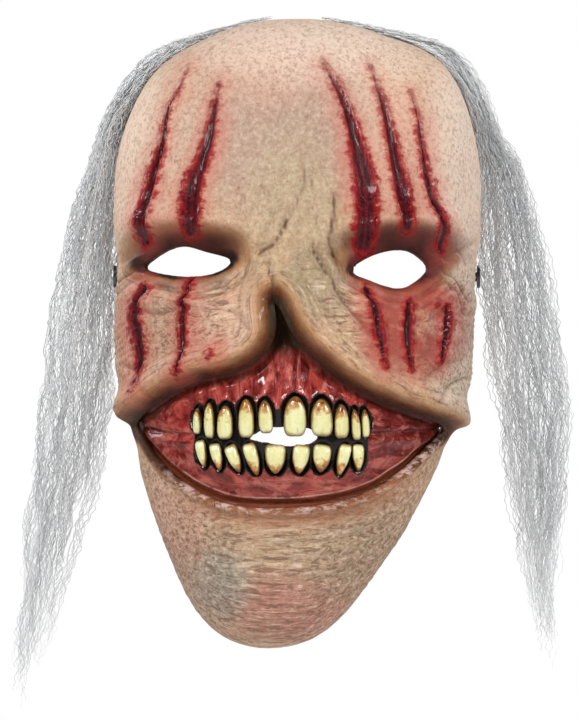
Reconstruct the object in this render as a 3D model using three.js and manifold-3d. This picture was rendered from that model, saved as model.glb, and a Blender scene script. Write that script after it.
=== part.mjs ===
// A latex costume face mask with long thin hair, worn on the front of the head.
// Millimetres, +Z up, +X to the wearer's left, the face looking along -Y.
// The origin is the middle of the axis through the two strap rivets, at the wearer's temples.
//
// The skin is one thin cast shell. Behind its torn mouth sits a thicker casting of bare gum,
// with separate cast teeth in sockets. Hair is sewn to two weft bands along the top edge, and
// an elastic strap swings on two rivets, which go through the skin and a reinforcing patch.

import * as THREE from "three";
import { mergeVertices } from "three/addons/utils/BufferGeometryUtils.js";
import Module from "manifold-3d";

const wasm = await Module();
wasm.setup();

// ---- Driving dimensions ----
const FACE_WIDTH = 161;
const FACE_HEIGHT = 276;
const FACE_MIDDLE_Z = -24; // the middle of the face's height, below the rivet axis
const SKIN_WALL = 2.4;
const CLEARANCE = 0.35; // between pieces that touch
const LAYER_GAP = 0.6; // between layers laid over the curved skin

// How far back from the front of the face its silhouette lies, and how far the skin then runs on to its cut edge.
const DOME_DEPTH = { side: 70, top: 62, bottom: 45 };
const WALL_RUN = { side: 32, top: 20, bottom: 18 };
const DOME_ROUNDNESS = 2.3; // exponent of the superellipse from front to silhouette
const RIVET_INSET = 14; // from the rivet axis back to the skin's cut edge

const GUM_RECESS = 4; // the gum's front face behind the skin's, where the mouth is torn open
const GUM_WALL = 5;
const GUM_MARGIN = 1.07; // the glued gum reaches past the torn opening by this share
const SOCKET_DEPTH = 2.2; // how deep a tooth sits in the gum
const TOOTH_THICKNESS = 5.2;
const TOOTH_GAP = 0.45; // round a tooth in its socket

const RIVET = { shank: 2, head: 5, headThick: 1.3, washer: 5.5, washerThick: 1 };
const PIVOT_GAP = 0.08; // round a rivet's shank in the strap, which turns on it
const PATCH = { halfHeight: 13, thick: 1.2 };
const STRAP = { width: 18, thick: 1.5, tab: 9, reach: 105, corner: 38, tilt: -16 };
const SLIDE = { length: 20, rim: 3.2, bar: 3, thick: 1.4 };

const WEFT = { thick: 1.2, from: 1.35, to: 1.85 };
const CROWN_FROM = 1.2; // how far along the skin's wall, from 1 to 2, the combed hair starts
const LOCK_GAP = 0.5;
const LOCK_ROWS = [
  { y: 4, depth: 17, locks: 4 },
  { y: 24, depth: 17, locks: 3 },
];

// ---- The drawing of the face ----
// Places on the face are drawn in millimetres on a face of this size, and stretched with the real one.
const DRAWN_WIDTH = 161;
const DRAWN_HEIGHT = 276;
const SCALE_X = FACE_WIDTH / DRAWN_WIDTH;
const SCALE_Z = FACE_HEIGHT / DRAWN_HEIGHT;
const FACE_Z = FACE_MIDDLE_Z * SCALE_Z;

// How far the silhouette lies outside an ellipse of the face's width and height, every 15 degrees
// from the wearer's left, anticlockwise as seen from the front.
const SILHOUETTE = [
  0.955, 0.991, 1.052, 1.141, 1.168, 1.042, 0.991, 1.039, 1.133, 1.128, 1.052, 0.996,
  0.985, 0.96, 0.93, 0.95, 0.985, 1.027, 0.968, 0.875, 0.852, 0.86, 0.895, 0.93,
];

// Soft rises and hollows of the skin: centre, half width and height, lean in degrees, rise.
const RELIEF = [
  { at: [-44, 20], half: [25, 8], lean: -6, rise: 5 }, // brows
  { at: [45, 19], half: [25, 8], lean: 6, rise: 5 },
  { at: [-47, 5], half: [24, 11], lean: 0, rise: -8 }, // eye sockets
  { at: [43, 2], half: [24, 12], lean: 0, rise: -8 },
  { at: [-7, 10], half: [9, 24], lean: 0, rise: 5 }, // bridge between the eyes
  { at: [-28, -26], half: [22, 17], lean: 20, rise: 8 }, // cheek folds
  { at: [22, -27], half: [26, 19], lean: -30, rise: 8 },
  { at: [-60, -38], half: [20, 26], lean: 0, rise: 3 }, // outer cheeks
  { at: [58, -40], half: [20, 26], lean: 0, rise: 3 },
  { at: [-8, -138], half: [36, 24], lean: 0, rise: 7 }, // chin
];
// The jaws push skin and gum forward together, and the tooth arch pushes the gum a little more.
const JAWS = { at: [-5, -66], half: [60, 36], lean: 0, rise: 6 };
const ARCH = { at: [-6, -70], half: [44, 20], lean: 0, rise: 3 };

const EYE_HOLES = {
  right: [[-65, 3.5], [-60, 9.5], [-50, 12.5], [-40, 10], [-29, 6.5], [-33, 1.5], [-44, -0.8], [-56, 0.5]],
  left: [[23.5, 1.5], [32, 7.5], [41, 10.3], [50, 9.8], [57, 3.5], [51, -3.5], [43, -5.8], [32, -2.5]],
};
const MOUTH = [
  [-71, -65], [-62, -57], [-50, -49.5], [-38, -45], [-26, -42.5], [-17, -37.5], [-11, -30], [-9, -21],
  [-10, -11], [-6, -18], [-2, -26], [4, -33.5], [13, -41.5], [23, -48.5], [38, -56], [53, -61.5],
  [65, -67.5], [57, -76], [45, -86], [29, -95], [6, -100], [-20, -100.5], [-35, -97.5], [-49, -90.5],
  [-61, -80.5], [-68, -71.5],
];
const MOUTH_GAP = [[-20.5, -71], [-13, -66.4], [-4, -65.8], [5, -66.4], [9, -69.2], [6.5, -73], [-3, -74.4], [-13, -73]];

// Each tooth: middle, width, height, lean in degrees.
const UPPER_TEETH = [
  { at: [-42.3, -62.6], size: [3.6, 11], lean: 0 },
  { at: [-37.1, -62.2], size: [4.6, 14.6], lean: 0 },
  { at: [-30.5, -63], size: [6.6, 14.4], lean: 0 },
  { at: [-21.6, -61.3], size: [6.9, 15.6], lean: 0 },
  { at: [-13.5, -60.8], size: [5.9, 14.2], lean: 3 },
  { at: [-0.9, -60.6], size: [9.8, 16.2], lean: 0 },
  { at: [10.4, -61.1], size: [9, 15.8], lean: 0 },
  { at: [18.8, -62.6], size: [6.2, 14], lean: 2 },
  { at: [24.7, -64], size: [3.9, 12.6], lean: 4 },
  { at: [28.8, -63.6], size: [3.4, 12], lean: 4 },
];
const LOWER_TEETH = [
  { at: [-40.5, -76.6], size: [4.4, 11.4], lean: 12 },
  { at: [-34.1, -77.9], size: [4.8, 11.2], lean: 12 },
  { at: [-26.8, -78.8], size: [5.2, 12.2], lean: 22 },
  { at: [-19, -79], size: [5.8, 13.4], lean: 16 },
  { at: [-9.3, -79], size: [8.2, 12.6], lean: 0 },
  { at: [1.4, -79], size: [7.2, 11.8], lean: -6 },
  { at: [10.4, -78.6], size: [7.4, 11.8], lean: -6 },
  { at: [19.4, -79.2], size: [5.2, 13.4], lean: -12 },
  { at: [26, -78.2], size: [5, 11], lean: 0 },
];

// The hanging hair on each side: height, and the distance of its inner and outer edge from the face's middle.
const CURTAINS = {
  right: {
    side: -1,
    edges: [[52, 85, 92], [20, 85, 101], [0, 85, 106], [-40, 85.5, 112], [-75, 88, 116], [-105, 93, 119],
      [-135, 102, 122], [-165, 110, 125], [-193, 117, 127]],
    tips: [[-96, -136, -193, -150], [-110, -170, -128]],
    crown: { from: 97, to: 135, thin: 3, thick: 11 },
  },
  left: {
    side: 1,
    edges: [[52, 85, 95], [20, 85.5, 107], [0, 86, 113], [-40, 88, 118], [-75, 93, 121], [-105, 98, 121],
      [-135, 101, 117], [-165, 108, 118], [-183, 112, 118]],
    tips: [[-92, -125, -181, -130], [-104, -168, -118]],
    crown: { from: 84, to: 45, thin: 3, thick: 13 },
  },
};
const SWING_PIVOT = 58; // height of the axis that the hanging hair swings on

const RINGS = 15; // facets from the middle of the face to its silhouette
const WALL_STEPS = 3;
const SECTORS = 56;
const RAD = Math.PI / 180;

// ---- The surface of the face ----
const drawn = ([x, z]) => [x * SCALE_X, z * SCALE_Z];
const mix = (a, b, t) => a + (b - a) * t;

// Periodic Catmull-Rom through SILHOUETTE, times the ellipse's own radius.
function silhouetteRadius(angle) {
  const step = (2 * Math.PI) / SILHOUETTE.length;
  const place = (((angle / step) % SILHOUETTE.length) + SILHOUETTE.length) % SILHOUETTE.length;
  const i = Math.floor(place);
  const t = place - i;
  const [a, b, c, d] = [-1, 0, 1, 2].map((k) => SILHOUETTE[(i + k + SILHOUETTE.length) % SILHOUETTE.length]);
  const factor = b + 0.5 * t * (c - a + t * (2 * a - 5 * b + 4 * c - d + t * (3 * (b - c) + d - a)));
  const ellipse = 1 / Math.hypot(Math.cos(angle) / (FACE_WIDTH / 2), Math.sin(angle) / (FACE_HEIGHT / 2));
  return ellipse * factor;
}

function byDirection(sizes, angle) {
  const c = Math.cos(angle) ** 2;
  return sizes.side * c + (Math.sin(angle) > 0 ? sizes.top : sizes.bottom) * (1 - c);
}

function bump({ at, half, lean, rise }, x, z) {
  const [c, s] = [Math.cos(lean * RAD), Math.sin(lean * RAD)];
  const [dx, dz] = [x / SCALE_X - at[0], z / SCALE_Z - at[1]];
  const u = (dx * c + dz * s) / half[0];
  const v = (dz * c - dx * s) / half[1];
  return rise * Math.exp(-(u * u + v * v));
}

// The bare form at s, which is 0 in the middle of the face, 1 at the silhouette and 2 at the cut edge.
function formPoint(s, angle) {
  const radius = silhouetteRadius(angle);
  const depth = byDirection(DOME_DEPTH, angle);
  const front = RIVET_INSET - WALL_RUN.side - DOME_DEPTH.side;
  const turn = (Math.min(s, 1) * Math.PI) / 2;
  const out = Math.sin(turn) ** (2 / DOME_ROUNDNESS);
  const forward = Math.cos(turn) ** (2 / DOME_ROUNDNESS);
  const wall = Math.max(s - 1, 0);
  const [c, sn] = [Math.cos(angle), Math.sin(angle)];
  const tuck = 1 - 0.03 * sn * sn * wall;
  const point = new THREE.Vector3(
    c * radius * out * tuck,
    front + depth * (1 - forward) + byDirection(WALL_RUN, angle) * wall,
    FACE_Z + sn * radius * out * tuck,
  );
  const radial = s >= 1 ? 1 : out ** (DOME_ROUNDNESS - 1) / radius;
  const ahead = s >= 1 ? 0 : forward ** (DOME_ROUNDNESS - 1) / depth;
  const normal = new THREE.Vector3(c * radial, -ahead, sn * radial).normalize();
  return { point, normal, wall };
}

function skinRise({ point, wall }) {
  const rise = [...RELIEF, JAWS].reduce((sum, b) => sum + bump(b, point.x, point.z), 0);
  return rise * Math.max(0, 1 - wall * 2.5);
}

function gumRise(form) {
  const under = skinRise(form) - SKIN_WALL - CLEARANCE;
  const { x, z } = form.point;
  return Math.min(under, bump(JAWS, x, z) + bump(ARCH, x, z) - GUM_RECESS);
}

const raised = (form, rise) => form.point.clone().addScaledVector(form.normal, rise);

// The point and normal of the form straight behind a drawn place on the face.
function formBehind(x, z) {
  const angle = Math.atan2(z - FACE_Z, x);
  const out = Math.hypot(x, z - FACE_Z) / silhouetteRadius(angle);
  const s = (Math.asin(Math.min(out, 1) ** (DOME_ROUNDNESS / 2)) * 2) / Math.PI;
  return formPoint(s, angle);
}

// ---- Solids ----
function toGeometry(vertices, triangles) {
  const geometry = new THREE.BufferGeometry();
  geometry.setAttribute("position", new THREE.Float32BufferAttribute(vertices.flatMap((v) => [v.x, v.y, v.z]), 3));
  geometry.setIndex(triangles);
  return geometry;
}

function toSolid(geometry) {
  const bare = geometry.clone();
  bare.deleteAttribute("normal");
  bare.deleteAttribute("uv");
  const merged = mergeVertices(bare, 1e-4);
  const vertProperties = new Float32Array(merged.attributes.position.array);
  return new wasm.Manifold(new wasm.Mesh({ numProp: 3, vertProperties, triVerts: new Uint32Array(merged.index.array) }));
}

function fromSolid(solid) {
  const mesh = solid.getMesh();
  const geometry = new THREE.BufferGeometry();
  geometry.setAttribute("position", new THREE.BufferAttribute(new Float32Array(mesh.vertProperties), 3));
  geometry.setIndex([...mesh.triVerts]);
  const flat = geometry.toNonIndexed();
  flat.computeVertexNormals();
  return flat;
}

const cut = (solid, ...tools) => tools.reduce((left, tool) => left.subtract(tool), solid);

// A closed block between two layers of a grid of rows by columns. With a pole, every first-row point is one point
// and the columns go all the way round.
function layeredBlock(rows, columns, outerAt, innerAt, pole) {
  const vertices = [];
  const triangles = [];
  const grids = [outerAt, innerAt].map((at) =>
    rows.map((r, i) => columns.map((c, j) => (pole && i === 0 && j > 0 ? null : vertices.push(at(r, c)) - 1))),
  );
  const [outer, inner] = grids;
  if (pole) grids.forEach((grid) => grid[0].fill(grid[0][0]));
  const quad = (a, b, c, d) => {
    if (a !== b) triangles.push(a, b, c);
    if (c !== d) triangles.push(a, c, d);
  };
  const last = columns.length - 1;
  const spans = pole ? columns.map((_, j) => [j, (j + 1) % columns.length]) : columns.slice(1).map((_, j) => [j, j + 1]);
  for (let i = 0; i + 1 < rows.length; i++) {
    for (const [j, k] of spans) {
      quad(outer[i][j], outer[i][k], outer[i + 1][k], outer[i + 1][j]);
      quad(inner[i][k], inner[i][j], inner[i + 1][j], inner[i + 1][k]);
    }
  }
  const rim = rows.length - 1;
  for (const [j, k] of spans) quad(outer[rim][j], outer[rim][k], inner[rim][k], inner[rim][j]);
  if (!pole) {
    for (const [j, k] of spans) quad(outer[0][k], outer[0][j], inner[0][j], inner[0][k]);
    for (let i = 0; i + 1 < rows.length; i++) {
      quad(outer[i][0], outer[i + 1][0], inner[i + 1][0], inner[i][0]);
      quad(outer[i + 1][last], outer[i][last], inner[i][last], inner[i + 1][last]);
    }
  }
  const solid = toSolid(toGeometry(vertices, triangles));
  if (solid.volume() > 0) return solid;
  for (let i = 0; i < triangles.length; i += 3) [triangles[i + 1], triangles[i + 2]] = [triangles[i + 2], triangles[i + 1]];
  return toSolid(toGeometry(vertices, triangles));
}

const steps = (from, to, count) => Array.from({ length: count + 1 }, (_, i) => mix(from, to, i / count));

// A smooth closed outline through drawn places, pushed through the face along Y.
function punch(places, grow, near, far, divisions) {
  const points = places.map(drawn);
  const middle = points.reduce(([x, z], p) => [x + p[0] / points.length, z + p[1] / points.length], [0, 0]);
  const grown = points.map(([x, z]) => new THREE.Vector3(
    middle[0] + (x - middle[0]) * grow,
    middle[1] + (z - middle[1]) * grow,
    0,
  ));
  const curve = new THREE.CatmullRomCurve3(grown, true, "centripetal");
  const shape = new THREE.Shape(curve.getPoints(divisions).slice(0, -1).map((p) => new THREE.Vector2(p.x, p.y)));
  const geometry = new THREE.ExtrudeGeometry(shape, { depth: far - near, bevelEnabled: false, steps: 1 });
  geometry.rotateX(Math.PI / 2); // the outline's up becomes +Z, and its depth runs along -Y
  geometry.translate(0, far, 0);
  return toSolid(geometry);
}

function rod(radius, from, to, sides = 24) {
  const geometry = new THREE.CylinderGeometry(radius, radius, to - from, sides);
  geometry.rotateZ(Math.PI / 2);
  geometry.translate((from + to) / 2, 0, 0);
  return toSolid(geometry);
}

// ---- Skin, gum and teeth ----
const ringList = [...steps(0, 1, RINGS), ...steps(1, 2, WALL_STEPS).slice(1)];
const sectorList = steps(0, 2 * Math.PI, SECTORS).slice(0, -1);
const FAR_FRONT = -200;

function skinLayer(from, to, rows = ringList, columns = sectorList, pole = true) {
  const at = (offset) => (s, angle) => {
    const form = formPoint(s, angle);
    return raised(form, skinRise(form) + offset);
  };
  return layeredBlock(rows, columns, at(from), at(to), pole);
}

// The furthest and nearest distance from the middle that the skin's outside has around a rivet.
function skinSpanAtRivet(side) {
  const distances = [];
  for (const s of steps(1, 2, 12)) {
    for (const angle of steps(-40, 60, 50)) {
      const form = formPoint(s, side > 0 ? angle * RAD : (180 - angle) * RAD);
      const p = raised(form, skinRise(form));
      if (Math.hypot(p.y, p.z) < PATCH.halfHeight) distances.push(Math.abs(p.x));
    }
  }
  return { far: Math.max(...distances), near: Math.min(...distances) };
}

function faceSkin() {
  const eyes = Object.values(EYE_HOLES).map((places) => punch(places, 1, FAR_FRONT, RIVET_INSET, 32));
  const mouth = punch(MOUTH, 1, FAR_FRONT, RIVET_INSET, 72);
  return cut(skinLayer(0, -SKIN_WALL), ...eyes, mouth, rivetHole());
}

function gumCasting(teeth) {
  const rows = steps(0, 0.93, RINGS - 1);
  const at = (offset) => (s, angle) => {
    const form = formPoint(s, angle);
    return raised(form, gumRise(form) + offset);
  };
  const layer = layeredBlock(rows, sectorList, at(0), at(-GUM_WALL), true);
  const blank = layer.intersect(punch(MOUTH, GUM_MARGIN, FAR_FRONT, -DOME_DEPTH.side / 2, 64));
  const sockets = teeth.map((tooth) => toothSolid(tooth, TOOTH_GAP));
  const gap = punch(MOUTH_GAP, 1, FAR_FRONT, RIVET_INSET, 20);
  return cut(blank, ...sockets, gap);
}

// A tooth is an egg, wide at its biting edge, set square to the gum's surface.
function toothSolid({ at, size, lean, upper }, grow) {
  const [x, z] = drawn(at);
  const form = formBehind(x, z);
  const geometry = new THREE.SphereGeometry(1, 10, 8);
  const half = [(size[0] * SCALE_X) / 2, TOOTH_THICKNESS / 2, (size[1] * SCALE_Z) / 2].map((h) => h + grow);
  const position = geometry.getAttribute("position");
  for (let i = 0; i < position.count; i++) {
    const [px, py, pz] = [position.getX(i), position.getZ(i), position.getY(i)];
    const toBite = upper ? -pz : pz;
    const width = 1 + 0.16 * toBite - 0.1 * pz * pz;
    position.setXYZ(i, px * half[0] * width, -py * half[1], pz * half[2]);
  }
  geometry.rotateY(-lean * RAD);
  geometry.applyQuaternion(new THREE.Quaternion().setFromUnitVectors(new THREE.Vector3(0, -1, 0), levelled(form.normal)));
  const middle = raised(form, gumRise(form) - SOCKET_DEPTH + TOOTH_THICKNESS / 2);
  geometry.translate(middle.x, middle.y, middle.z);
  return toSolid(geometry);
}

const levelled = (normal) => new THREE.Vector3(normal.x, normal.y, normal.z * 0.3).normalize();

// ---- Strap and rivets ----
const rivetHole = (gap = CLEARANCE) => rod(RIVET.shank + gap, -FACE_WIDTH, FACE_WIDTH);
const strapOutside = Math.min(...[-1, 1].map((side) => skinSpanAtRivet(side).near))
  - SKIN_WALL - LAYER_GAP - PATCH.thick - LAYER_GAP;

function anchorPatch(side) {
  const outer = -SKIN_WALL - LAYER_GAP;
  const middle = Math.atan2(-FACE_Z, (side * FACE_WIDTH) / 2);
  const reach = PATCH.halfHeight / (FACE_WIDTH / 2);
  const columns = steps(middle - reach, middle + reach, 6);
  const patch = skinLayer(outer, outer - PATCH.thick, steps(1.25, 1.9, 3), columns, false);
  return cut(patch, rivetHole());
}

function rivet(side) {
  const { far } = skinSpanAtRivet(side);
  const seat = far + CLEARANCE;
  const washerSeat = strapOutside - STRAP.thick - CLEARANCE;
  const shank = rod(RIVET.shank, washerSeat - RIVET.washerThick - CLEARANCE, seat + RIVET.headThick / 2);
  const solid = shank.add(rod(RIVET.head, seat, seat + RIVET.headThick));
  return side > 0 ? solid : solid.rotate([0, 0, 180]);
}

function washer(side) {
  const outer = strapOutside - STRAP.thick - CLEARANCE;
  const ring = cut(
    rod(RIVET.washer, outer - RIVET.washerThick, outer),
    rivetHole(),
  );
  return side > 0 ? ring : ring.rotate([0, 0, 180]);
}

// One side's half of the strap's edge, from its tab round the rear corner to the middle.
function strapEdge(outside, corner) {
  const path = new THREE.Path();
  const rear = STRAP.reach - (strapOutside - outside);
  path.moveTo(outside, -STRAP.tab);
  path.lineTo(outside, rear - corner);
  path.absarc(outside - corner, rear - corner, corner, 0, Math.PI / 2, false);
  path.lineTo(0, rear);
  return path.getPoints(9);
}

function elasticStrap() {
  const mirrored = (points) => points.slice(0, -1).reverse().map((p) => new THREE.Vector2(-p.x, p.y));
  const outer = strapEdge(strapOutside, STRAP.corner);
  const inner = strapEdge(strapOutside - STRAP.thick, STRAP.corner - STRAP.thick);
  const shape = new THREE.Shape([...outer, ...mirrored(outer), ...[...inner, ...mirrored(inner)].reverse()]);
  const geometry = new THREE.ExtrudeGeometry(shape, { depth: STRAP.width, bevelEnabled: false, steps: 1 });
  geometry.translate(0, 0, -STRAP.width / 2);
  return cut(toSolid(geometry), rivetHole(PIVOT_GAP));
}

// The slide is a flat frame round the strap's rear run, with a bar across its outside.
function slideAdjuster() {
  const gap = CLEARANCE;
  const inside = new THREE.BoxGeometry(SLIDE.length + 2, STRAP.thick + 2 * gap, STRAP.width + 2 * gap);
  const outside = new THREE.BoxGeometry(SLIDE.length, STRAP.thick + 2 * (gap + SLIDE.thick), STRAP.width + 2 * (gap + SLIDE.rim));
  const windowDepth = STRAP.thick + 2 * (gap + SLIDE.thick) + 2;
  const windowWidth = (SLIDE.length - 3 * SLIDE.bar) / 2;
  const windows = [-1, 1].map((side) => {
    const box = new THREE.BoxGeometry(windowWidth, windowDepth, STRAP.width - 2);
    box.translate((side * (windowWidth + SLIDE.bar)) / 2, 0, 0);
    return toSolid(box);
  });
  const rearMiddle = STRAP.reach - STRAP.thick / 2;
  return cut(toSolid(outside), toSolid(inside), ...windows).translate([0, rearMiddle, 0]);
}

// ---- Hair ----
function crownLayer(curtain, from, thicknessAt, rows, count) {
  const { crown } = curtain;
  const columns = steps(crown.from, crown.to, count).map((a) => a * RAD);
  const share = (angle) => (angle / RAD - crown.from) / (crown.to - crown.from);
  const at = (offset) => (s, angle) => raised(formPoint(s, angle), offset(share(angle)));
  return layeredBlock(rows, columns, at((t) => from + thicknessAt(t)), at(() => from), false);
}

const weftBand = (curtain) => crownLayer(curtain, LAYER_GAP, () => WEFT.thick, [WEFT.from, WEFT.to], 8);

function hairCrown(curtain) {
  const { thin, thick } = curtain.crown;
  const from = 2 * LAYER_GAP + WEFT.thick;
  return crownLayer(curtain, from, (t) => mix(thin, thick, t), steps(CROWN_FROM, 2, 2), 10);
}

function edgesAt(curtain, z) {
  const { edges } = curtain;
  const i = Math.max(1, edges.findIndex(([level]) => level <= z));
  const [above, below] = [edges[i - 1], edges[i]];
  const t = (z - above[0]) / (below[0] - above[0]);
  return [mix(above[1], below[1], t), mix(above[2], below[2], t)];
}

// A lock is a stack of flat oval rings, from the end of the crown down to its tip.
function hairLock(curtain, row, place) {
  const { y, depth, locks } = LOCK_ROWS[row];
  const tip = curtain.tips[row][place];
  const levels = steps(curtain.edges[0][0], tip, 11);
  const sides = 8;
  const vertices = [];
  levels.forEach((z, i) => {
    const [inner, outer] = edgesAt(curtain, z);
    const share = (outer - inner) / locks;
    const taper = i === levels.length - 1 ? 0.35 : 1 - 0.5 * (i / levels.length) ** 3;
    const middle = curtain.side * (inner + share * (place + 0.5)) * SCALE_X;
    const halfWide = ((share * SCALE_X - LOCK_GAP) / 2) * taper;
    const halfDeep = ((depth - LOCK_GAP) / 2) * taper * (i === 0 ? 0.7 : 1);
    for (let k = 0; k < sides; k++) {
      const a = (2 * Math.PI * k) / sides;
      vertices.push(new THREE.Vector3(middle + halfWide * Math.cos(a), y + halfDeep * Math.sin(a), z * SCALE_Z));
    }
  });
  const triangles = [];
  for (let i = 0; i + 1 < levels.length; i++) {
    for (let k = 0; k < sides; k++) {
      const [a, b] = [i * sides + k, i * sides + ((k + 1) % sides)];
      triangles.push(a, a + sides, b + sides, a, b + sides, b);
    }
  }
  const end = (levels.length - 1) * sides;
  for (let k = 1; k + 1 < sides; k++) {
    triangles.push(0, k, k + 1);
    triangles.push(end, end + k + 1, end + k);
  }
  return toSolid(toGeometry(vertices, triangles));
}

// ---- Assembly ----
const finish = (color, roughness, metalness = 0) => new THREE.MeshStandardMaterial({ color, roughness, metalness });
const FINISHES = {
  skin: finish(0xd9b9a0, 0.55),
  gum: finish(0xa2322e, 0.3),
  tooth: finish(0xe6dc9a, 0.35),
  hair: finish(0xb4b8b8, 0.7),
  weft: finish(0x8b8c8a, 0.9),
  patch: finish(0xc9b79b, 0.9),
  elastic: finish(0x1d1d1f, 0.9),
  metal: finish(0xb9b9b4, 0.3, 1),
  plastic: finish(0x202022, 0.4),
};

const mask = new THREE.Group();

function add(group, name, solid, material) {
  const mesh = new THREE.Mesh(fromSolid(solid), FINISHES[material]);
  mesh.name = name;
  group.add(mesh);
}

const teeth = [
  ...UPPER_TEETH.map((tooth, i) => ({ ...tooth, upper: true, name: `upper_tooth_${i + 1}` })),
  ...LOWER_TEETH.map((tooth, i) => ({ ...tooth, upper: false, name: `lower_tooth_${i + 1}` })),
];
add(mask, "face_skin", faceSkin(), "skin");
add(mask, "gum_casting", gumCasting(teeth), "gum");
teeth.forEach((tooth) => add(mask, tooth.name, toothSolid(tooth, 0), "tooth"));

for (const [name, curtain] of Object.entries(CURTAINS)) {
  add(mask, `hair_weft_${name}`, weftBand(curtain), "weft");
  add(mask, `hair_crown_${name}`, hairCrown(curtain), "hair");
  LOCK_ROWS.forEach(({ locks }, row) => {
    for (let place = 0; place < locks; place++) {
      const label = `hair_lock_${name}_${row === 0 ? "front" : "back"}_${place + 1}`;
      add(mask, label, hairLock(curtain, row, place), "hair");
    }
  });
  add(mask, `anchor_patch_${name}`, anchorPatch(curtain.side), "patch");
  add(mask, `strap_rivet_${name}`, rivet(curtain.side), "metal");
  add(mask, `strap_washer_${name}`, washer(curtain.side), "metal");
}

const strap = new THREE.Group();
strap.rotation.x = STRAP.tilt * RAD;
add(strap, "elastic_strap", elasticStrap(), "elastic");
add(strap, "slide_adjuster", slideAdjuster(), "plastic");
mask.add(strap);

export default mask;
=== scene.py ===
# The looks of a cast latex monster mask: skin, gum, teeth, crimped hair, elastic strap.
# Lengths below are in millimetres in the part's own frame: X to the wearer's left, Y back into the head, Z up.

import math
from functools import cached_property

import bmesh
import bpy
import numpy as np
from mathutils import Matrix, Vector


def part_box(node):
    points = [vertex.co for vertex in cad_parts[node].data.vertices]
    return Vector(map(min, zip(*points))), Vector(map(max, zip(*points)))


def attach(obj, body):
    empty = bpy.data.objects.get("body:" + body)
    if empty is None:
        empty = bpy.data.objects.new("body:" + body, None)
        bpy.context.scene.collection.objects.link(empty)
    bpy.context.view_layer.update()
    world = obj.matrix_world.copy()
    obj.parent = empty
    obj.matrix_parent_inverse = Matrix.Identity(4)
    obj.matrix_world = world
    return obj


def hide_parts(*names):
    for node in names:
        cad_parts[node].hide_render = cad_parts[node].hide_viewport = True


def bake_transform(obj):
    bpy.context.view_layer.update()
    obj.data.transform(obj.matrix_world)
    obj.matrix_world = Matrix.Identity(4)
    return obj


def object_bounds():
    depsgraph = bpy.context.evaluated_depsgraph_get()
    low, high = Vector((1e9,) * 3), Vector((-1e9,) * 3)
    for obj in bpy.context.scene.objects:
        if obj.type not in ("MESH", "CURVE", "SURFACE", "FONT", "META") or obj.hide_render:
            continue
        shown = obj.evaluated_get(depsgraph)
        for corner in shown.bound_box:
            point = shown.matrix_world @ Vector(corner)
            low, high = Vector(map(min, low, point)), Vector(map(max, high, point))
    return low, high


MM = 0.001
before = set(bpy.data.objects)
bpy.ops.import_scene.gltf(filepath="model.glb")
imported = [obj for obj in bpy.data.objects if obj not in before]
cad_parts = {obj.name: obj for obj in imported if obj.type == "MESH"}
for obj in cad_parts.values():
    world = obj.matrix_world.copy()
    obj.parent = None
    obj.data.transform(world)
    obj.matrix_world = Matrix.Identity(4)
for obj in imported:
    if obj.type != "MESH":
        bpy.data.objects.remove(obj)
cad_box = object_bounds()
rng = np.random.default_rng(11)


# ---------------------------------------------------------------- the form of the face
FACE_WIDTH = 161.0
FACE_HEIGHT = 276.0
FACE_Z = -24.0  # the middle of the face's height
EYES_MIDDLE_X = -3.0
RIM_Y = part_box("face_skin")[1][1] / MM
# The front is a dome, and a wall runs back from its silhouette to the cut edge.
DOME_DEPTH = {"side": 70.0, "top": 62.0, "bottom": 45.0}
WALL_RUN = {"side": 32.0, "top": 20.0, "bottom": 18.0}
FRONT_Y = RIM_Y - WALL_RUN["side"] - DOME_DEPTH["side"]
DOME_ROUNDNESS = 2.3  # 2 is an ellipse, more is squarer
SKIN_WALL = 2.4
GUM_RECESS = 4.0  # how far the gum lies behind the skin's form
GUM_WALL = 5.0

# How far the silhouette lies outside an ellipse, every 15 degrees from the wearer's left.
SILHOUETTE = np.array([
    0.955, 0.991, 1.052, 1.141, 1.168, 1.042, 0.991, 1.039, 1.133, 1.128, 1.052, 0.996,
    0.985, 0.96, 0.93, 0.95, 0.985, 1.027, 0.968, 0.875, 0.852, 0.86, 0.895, 0.93,
])

# Soft rises of the form: centre x and z, half width, half height, lean in degrees, rise.
RELIEF = [
    (-44, 20, 25, 8, -6, 5), (45, 19, 25, 8, 6, 5),
    (-47, 5, 24, 11, 0, -8), (43, 2, 24, 12, 0, -8),
    (-7, 10, 9, 24, 0, 5),
    (-28, -26, 22, 17, 20, 8), (22, -27, 26, 19, -30, 8),
    (-60, -38, 20, 26, 0, 3), (58, -40, 20, 26, 0, 3),
    (-8, -138, 36, 24, 0, 7),
]
JAWS = (-5, -66, 60, 36, 0, 6)
ARCH = (-6, -70, 44, 20, 0, 3)

EYE_RIGHT = [(-66.8, 3.4), (-60, 9.5), (-50, 12.5), (-40, 10), (-28.8, 6.3), (-33, 1.5), (-44, -0.8), (-57, 0.2)]
EYE_LEFT = [(23.0, 1.2), (30.5, 7.1), (41, 10.5), (50, 9.8), (57.4, 3.3), (51, -3.5), (43, -6), (31, -2.7)]
MOUTH = [
    (-71, -65), (-62, -57), (-50, -49.5), (-38, -45), (-26, -42.5), (-17, -37.5), (-11, -30), (-9, -21),
    (-10, -11), (-6, -18), (-2, -26), (4, -33.5), (13, -41.5), (23, -48.5), (38, -56), (53, -61.5),
    (65, -67.5), (57, -76), (45, -86), (29, -95), (6, -100), (-20, -100.5), (-35, -97.5), (-49, -90.5),
    (-61, -80.5), (-68, -71.5),
]
MOUTH_GAP = [(-20.5, -71), (-13, -66.4), (-4, -65.8), (5, -66.4), (9, -69.2), (6.5, -73), (-3, -74.4), (-13, -73)]

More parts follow.
